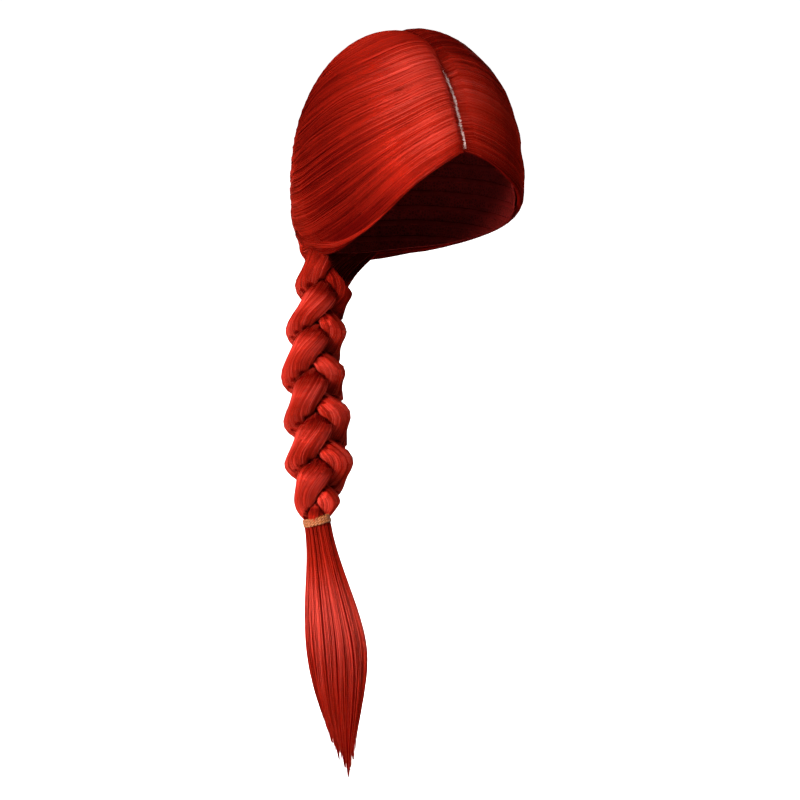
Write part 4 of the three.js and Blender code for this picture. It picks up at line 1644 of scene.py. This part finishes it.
@dataclass
class Tail:
    """Loose hair below the elastic."""

    axis_points: tuple[Place, ...] = (
        (-94.6, -36.1, -356.3),
        (-89.5, -41.0, -400.0),
        (-84.8, -46.0, -446.6),
        (-83.0, -49.0, -494.0),
        (-77.0, -52.0, -561.0),
    )
    locks: tuple[TailLock, ...] = (
        TailLock(-15.0, -1.0, -9.0, 0.86, 7.5, 6.0),
        TailLock(-8.0, 4.0, -5.0, 0.93, 7.5, 6.0),
        TailLock(1.0, 5.0, -1.0, 0.96, 8.0, 6.5),
        TailLock(10.0, 4.0, 1.0, 1.0, 7.5, 6.0),
        TailLock(16.5, -1.0, 6.0, 0.93, 7.5, 6.0),
        TailLock(-6.0, -6.0, -3.0, 0.9, 8.0, 5.5),
        TailLock(7.0, -6.0, 3.0, 0.96, 8.0, 5.5),
    )
    widest: float = 0.54
    tied_spread: float = 0.4
    tied_thickness: float = 0.5
    fibres_per_lock: int = 120
    packing: Pair = (0.84, 1.06)
    length_spread: float = 0.13
    drift: float = 0.2
    stray_share: float = 0.015
    stray_reach: Pair = (1.15, 1.5)
    tint: Pair = (0.54, 0.09)
    middle_light: Shade = Shade(0.28, 0.42, 0.2)
    lower_shade: Shade = Shade(0.1, 0.82, 0.14)
    upper_shade: Shade = Shade(0.3, 0.0, 0.24)
    taper_places: tuple[float, ...] = (0.0, 0.75, 1.0)
    tapers: tuple[float, ...] = (1.0, 0.85, 0.25)
    form_tip: float = 0.6
    fibre_tip: float = 2.4
    steps: int = 22
    under_share: float = 0.87
    under_end: float = 0.985
    flow_length: float = 2.0
    under_sides: int = 20
    under_steps: int = 40
    seed: int = 71

    def lock_frame(self, lock: TailLock, shares: np.ndarray) -> tuple[np.ndarray, np.ndarray]:
        """Follows the middle of a lock.

        Args:
            lock: The lock.
            shares: Shares of the lock's length.

        Returns:
            Sideways and forward distances with the axis's share, shaped (shares, 3), and the girth's share.
        """
        opening = smooth(shares / self.widest)
        closing = smooth((shares - self.widest) / (1.0 - self.widest))
        spread = mix(self.tied_spread, 1.0, opening)
        sideways = mix(lock.side * spread, lock.tip_side, closing)
        forward = lock.front * spread * (1.0 - closing)
        girth = mix(self.tied_thickness, 1.0, opening) * np.sqrt(1.0 - closing)
        return np.stack([sideways, forward, shares * lock.length], axis=-1), girth

    def place(
        self, braid: Braid, lock: TailLock, shares: np.ndarray, across: np.ndarray, least: float
    ) -> np.ndarray:
        """Gives points in a lock.

        Args:
            braid: Braid whose last section gives the axes.
            lock: The lock.
            shares: Shares of the lock's length.
            across: Places in the lock's section, of -1 to 1 each way, shaped (fibres, samples, 2).
            least: Half width to which the lock narrows at its tip.

        Returns:
            Points in millimetres, shaped (fibres, samples, 3).
        """
        side, front, _ = (axis[0] for axis in braid.frame_axes(np.array([1.0]), braid.tail_facing))
        middle, girth = self.lock_frame(lock, np.minimum(shares, 1.0))
        line = spline_by_length(np.array(self.axis_points), np.minimum(shares * lock.length, 1.0))
        wide = np.maximum(lock.half_width * girth, least)
        deep = np.maximum(lock.half_depth * girth, least)
        sideways = (middle[:, 0] + across[..., 0] * wide)[..., None]
        forward = (middle[:, 1] + across[..., 1] * deep)[..., None]
        return line + sideways * side + forward * front

    def under_form(self, braid: Braid, finish: bpy.types.Material) -> bpy.types.Object:
        """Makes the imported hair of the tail."""
        shares = np.linspace(0.0, self.under_end, self.under_steps + 1)
        across = section_rings(self.under_sides, len(shares), self.under_share)
        form = FormMesh()
        for lock in self.locks:
            lines = self.place(braid, lock, shares, across, self.form_tip)
            form.add_loft(lines, shares * self.flow_length)
        return form.build("tail_body", finish)

    def fibre_bundle(self, braid: Braid) -> FibreBundle:
        """Lays fibres along the locks, each ending at its own length.

        Args:
            braid: Braid whose last section gives the axes.

        Returns:
            The bundle of fibres.
        """
        rng = np.random.default_rng(self.seed)
        count = self.fibres_per_lock
        steps = np.linspace(0.0, 1.0, self.steps + 1)
        # Painted light on the middle of the tail, and painted shade below the elastic and towards the tips.
        lit = self.middle_light.at(steps) - self.lower_shade.at(steps) - self.upper_shade.at(steps)
        taper = np.interp(steps, self.taper_places, self.tapers)
        bundles = []
        for lock in self.locks:
            angle = rng.uniform(0.0, FULL_TURN, count)
            part = np.sqrt(rng.uniform(*self.packing, count))
            stray = rng.uniform(0.0, 1.0, count) < self.stray_share
            part = np.where(stray, rng.uniform(*self.stray_reach, count), part)
            start = np.stack([np.cos(angle), np.sin(angle)], axis=-1) * part[:, None]
            lines = []
            for fibre in range(count):
                reach = 1.0 - abs(rng.normal(0.0, self.length_spread))
                drift = wander(rng, 2, steps, waves=3).T * self.drift
                across = start[fibre][None, None, :] + drift[None, :, :] * steps[None, :, None]
                lines.append(self.place(braid, lock, steps * reach, across, self.fibre_tip)[0])
            tints = np.clip(rng.normal(*self.tint, (count, 1)) + lit[None, :], 0.0, 1.0)
            bundles.append(FibreBundle(np.array(lines), fibre_radii(rng, count, taper), tints))
        return FibreBundle.joined(bundles)


RIGHT_FORM = HairFlow(
    Side.RIGHT,
    (
        GuideLock(23.0, (22.0, 44.0, 66.0, 88.0), (11.0, -9.0, -24.0, -31.0), 6.0),
        GuideLock(42.0, (32.0, 58.0, 82.0, 95.0), (30.0, 11.0, -10.0, -28.0), 9.0),
        GuideLock(60.0, (38.0, 72.0, 102.0, 103.0), (50.0, 34.0, 5.0, -26.0), 11.0),
        GuideLock(84.0, (82.0, 106.0, 120.0, 110.0), (66.0, 38.0, 5.0, -26.0), 9.8),
        GuideLock(102.0, (140.0, 132.0, 131.0, 117.0), (64.0, 32.0, -2.0, -27.0), 11.0),
        GuideLock(118.0, (164.0, 152.0, 140.0, 124.0), (42.0, 16.0, -10.0, -28.0), 12.0),
    ),
)
RIGHT_SWEEP = HairFlow(
    Side.RIGHT,
    (
        GuideLock(23.0, (22.0, 44.0, 66.0, 86.0, 104.0, 122.0), (11.0, -9.0, -24.0, -30.0, -29.0, -25.0)),
        GuideLock(33.0, (26.0, 54.0, 80.0, 100.0, 118.0, 130.0), (22.0, 1.0, -13.0, -18.0, -17.5, -21.0)),
        GuideLock(42.0, (30.0, 62.0, 90.0, 110.0, 128.0, 136.0), (32.0, 17.0, 4.0, -1.0, -4.0, -18.0)),
        GuideLock(60.0, (38.0, 72.0, 104.0, 126.0, 139.0, 140.0), (52.0, 44.0, 30.0, 20.0, 8.0, -12.0)),
        GuideLock(84.0, (86.0, 118.0, 138.0, 144.0, 143.0, 138.0), (69.0, 52.0, 32.0, 14.0, -4.0, -18.0)),
        GuideLock(118.0, (164.0, 155.0, 149.0, 145.0, 141.0, 137.0), (42.0, 24.0, 10.0, -2.0, -11.0, -18.0)),
    ),
)
LEFT_FORM = HairFlow(
    Side.LEFT,
    (
        GuideLock(23.0, (-46.0, -112.0, 174.0, 97.0), (-1.0, -30.0, -39.0, -46.0), 6.0),
        GuideLock(42.0, (-56.0, -120.0, 174.0, 101.0), (17.0, -14.0, -31.0, -43.0), 6.0),
        GuideLock(60.0, (-66.0, -130.0, 172.0, 106.0), (37.0, 4.0, -23.0, -39.0), 9.5),
        GuideLock(84.0, (-108.0, -152.0, 168.0, 112.0), (58.0, 22.0, -13.0, -35.0), 12.0),
        GuideLock(102.0, (-160.0, 180.0, 155.0, 118.0), (52.0, 20.0, -10.0, -31.0), 12.0),
        GuideLock(118.0, (164.0, 152.0, 140.0, 124.0), (42.0, 16.0, -10.0, -28.0), 12.0),
    ),
)
RIGHT_ROLL = BorderRoll(
    "hair_panel_right_roll",
    turns=(26.0, 46.0, 66.0, 82.0, 98.0, 114.0, 126.0),
    rises=(8.0, -10.0, -20.5, -22.6, -22.6, -20.8, -18.0),
    depths=(2.0, 3.0, 4.2, 6.0, 7.2, 7.0, 6.0),
    girths=(0.5, 1.4, 2.4, 3.6, 4.2, 4.0, 2.6),
    tint=0.34,
    seed=17,
)
LEFT_ROLL = BorderRoll(
    "hair_panel_left_roll",
    turns=(-8.0, -24.0, -46.0, -80.0, -112.0, -150.0, -186.0),
    rises=(21.0, 11.5, -0.5, -18.5, -29.5, -36.0, -38.5),
    depths=(1.6, 2.0, 2.2, 2.4, 2.6, 3.0, 3.4),
    girths=(0.6, 1.1, 1.4, 1.6, 1.8, 2.2, 2.4),
    tint=0.08,
    seed=19,
)
RIGHT_PANEL = HairPanel(
    "hair_panel_right", RIGHT_FORM, RIGHT_SWEEP, fibres=1090, seed=11, side_shade=Shade(0.42, 0.5, 0.29)
)
LEFT_PANEL = HairPanel(
    "hair_panel_left",
    LEFT_FORM,
    LEFT_FORM,
    fibres=900,
    seed=23,
    side_shade=Shade(0.12, 0.5, 0.29),
    # On this panel the crown gets painted shade instead of a painted highlight.
    crown_light=Shade(-0.1, 0.1, 0.05),
    back_shade=0.38,
    back_angle=54.0,
)


@dataclass(frozen=True)
class SoftBox:
    """Square area light, in metres, watts and degrees."""

    name: str
    place: Place
    size: float
    power: float
    aim: Place = (-0.02, 0.0, -0.12)
    spread: float = 180.0

    def build(self) -> None:
        """Stands the light in its place and turns it to its aim."""
        data = bpy.data.lights.new(self.name, "AREA")
        data.shape = "RECTANGLE"
        data.size = data.size_y = self.size
        data.energy = self.power
        data.spread = math.radians(self.spread)
        lamp = add_object(self.name, data)
        lamp.location = self.place
        lamp.rotation_euler = (Vector(self.aim) - Vector(self.place)).to_track_quat("-Z", "Y").to_euler()


@dataclass
class Studio:
    """Floor, light and camera round the wig, in metres and degrees."""

    lights: tuple[SoftBox, ...] = (
        SoftBox("key", (-0.5, -1.05, 2.0), 1.2, 180.0),
        SoftBox("back_fill", (-1.7, 1.5, 0.7), 1.6, 70.0),
        SoftBox("left_fill", (2.2, 0.0, 0.7), 1.2, 42.0),
        SoftBox("right_rim", (-2.3, 0.3, 0.4), 1.2, 26.0),
        SoftBox("left_rim", (1.4, 1.9, 0.8), 1.6, 60.0),
        SoftBox("braid_front", (-1.9, -1.2, 0.3), 0.5, 30.0, aim=(-0.09, -0.04, -0.45), spread=40.0),
    )
    azimuth: float = -26.0
    elevation: float = 12.0
    target: Place = (-0.007, 0.0, -0.276)
    distance: float = 1.74
    lens: float = 100.2
    sensor: float = 36.0
    floor_gap: float = 0.004
    floor_radius: float = 30.0
    floor_sides: int = 96
    world_light: float = 0.15
    backdrop: float = 1.0

    def floor(self, finish: bpy.types.Material) -> None:
        """Lays the floor just below the tip of the tail."""
        level = CAD_BOX[0][2] - self.floor_gap
        angles = np.linspace(0.0, FULL_TURN, self.floor_sides, endpoint=False)
        ring = [(self.floor_radius * math.cos(a), self.floor_radius * math.sin(a), level) for a in angles]
        mesh = bpy.data.meshes.new("studio_floor")
        mesh.from_pydata(ring, [], [tuple(range(len(ring)))])
        mesh.materials.append(finish)
        made = add_object("studio_floor", mesh)

    def world(self) -> None:
        """Surrounds the scene with soft white light."""
        world = bpy.data.worlds.new("studio")
        world.use_nodes = True
        nodes, links = world.node_tree.nodes, world.node_tree.links
        nodes.clear()
        seen, lit = nodes.new("ShaderNodeBackground"), nodes.new("ShaderNodeBackground")
        for background, strength in ((seen, self.backdrop), (lit, self.world_light)):
            background.inputs["Strength"].default_value = strength
            background.inputs["Color"].default_value = rgba(WHITE)
        path = nodes.new("ShaderNodeLightPath")
        both = nodes.new("ShaderNodeMixShader")
        end = nodes.new("ShaderNodeOutputWorld")
        links.new(path.outputs["Is Camera Ray"], both.inputs["Fac"])
        links.new(lit.outputs["Background"], both.inputs[1])
        links.new(seen.outputs["Background"], both.inputs[2])
        links.new(both.outputs["Shader"], end.inputs["Surface"])
        bpy.context.scene.world = world

    def camera(self) -> None:
        """Stands the camera at the photograph's angle."""
        data = bpy.data.cameras.new("camera")
        data.lens = self.lens
        data.sensor_width = self.sensor
        a, e = math.radians(self.azimuth), math.radians(self.elevation)
        back = Vector((math.sin(a) * math.cos(e), -math.cos(a) * math.cos(e), math.sin(e)))
        made = add_object("camera", data)
        made.location = Vector(self.target) + back * self.distance
        made.rotation_euler = (-back).to_track_quat("-Z", "Y").to_euler()
        bpy.context.scene.camera = made

    def build(self) -> None:
        """Sets up the whole studio."""
        self.floor(FloorFinish().material())
        self.world()
        for light in self.lights:
            light.build()
        self.camera()
        bpy.context.scene.view_settings.view_transform = "Standard"


def main() -> None:
    """Builds the wig piece by piece."""
    logging.basicConfig(level=logging.INFO, format="%(name)s %(message)s")
    sweep = SweepTree()
    fibre = FibreFinish().material()
    packed = UnderHairFinish().material()
    for panel in (RIGHT_PANEL, LEFT_PANEL):
        settle(panel.under_form(packed), Slot.HAIR, panel.name)
        settle(panel.fibre_bundle().build(panel.name + "_fibres", sweep, fibre), Slot.HAIR)
    for roll in (RIGHT_ROLL, LEFT_ROLL):
        settle(roll.fibre_bundle().build(roll.name, sweep, fibre), Slot.HAIR)
    braid = Braid()
    for strand in range(braid.strands):
        under = braid.under_form(strand, packed)
        settle(under, Slot.HAIR, f"braid_strand_{strand + 1}")
        settle(braid.fibre_bundle(strand).build(f"braid_strand_{strand + 1}_fibres", sweep, fibre), Slot.HAIR)
    for name, extra in (("braid_root_wrap", RootWrap()), ("braid_stray_hairs", StrayHairs())):
        settle(extra.fibre_bundle(braid).build(name, sweep, fibre), Slot.HAIR)
    nape = NapeLock()
    settle(nape.under_form(packed), Slot.HAIR, "nape_lock")
    settle(nape.fibre_bundle().build("nape_lock_fibres", sweep, fibre), Slot.HAIR)
    tie = ElasticTie()
    cord = tie.bundle(braid).build("elastic_cord", sweep, ElasticFinish().material(), tie.ply_sides)
    settle(cord, Slot.ELASTIC, "elastic_tie")
    tail = Tail()
    settle(tail.under_form(braid, packed), Slot.HAIR, "tail")
    settle(tail.fibre_bundle(braid).build("tail_fibres", sweep, fibre), Slot.HAIR)
    for node, finish in (("wig_cap", NetFinish().material()), ("parting_strip", PartingFinish().material())):
        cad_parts[node].data.materials.clear()
        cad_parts[node].data.materials.append(finish)
        log.info("%s: dressed", node)
    Studio().build()


if __name__ == "__main__":
    main()
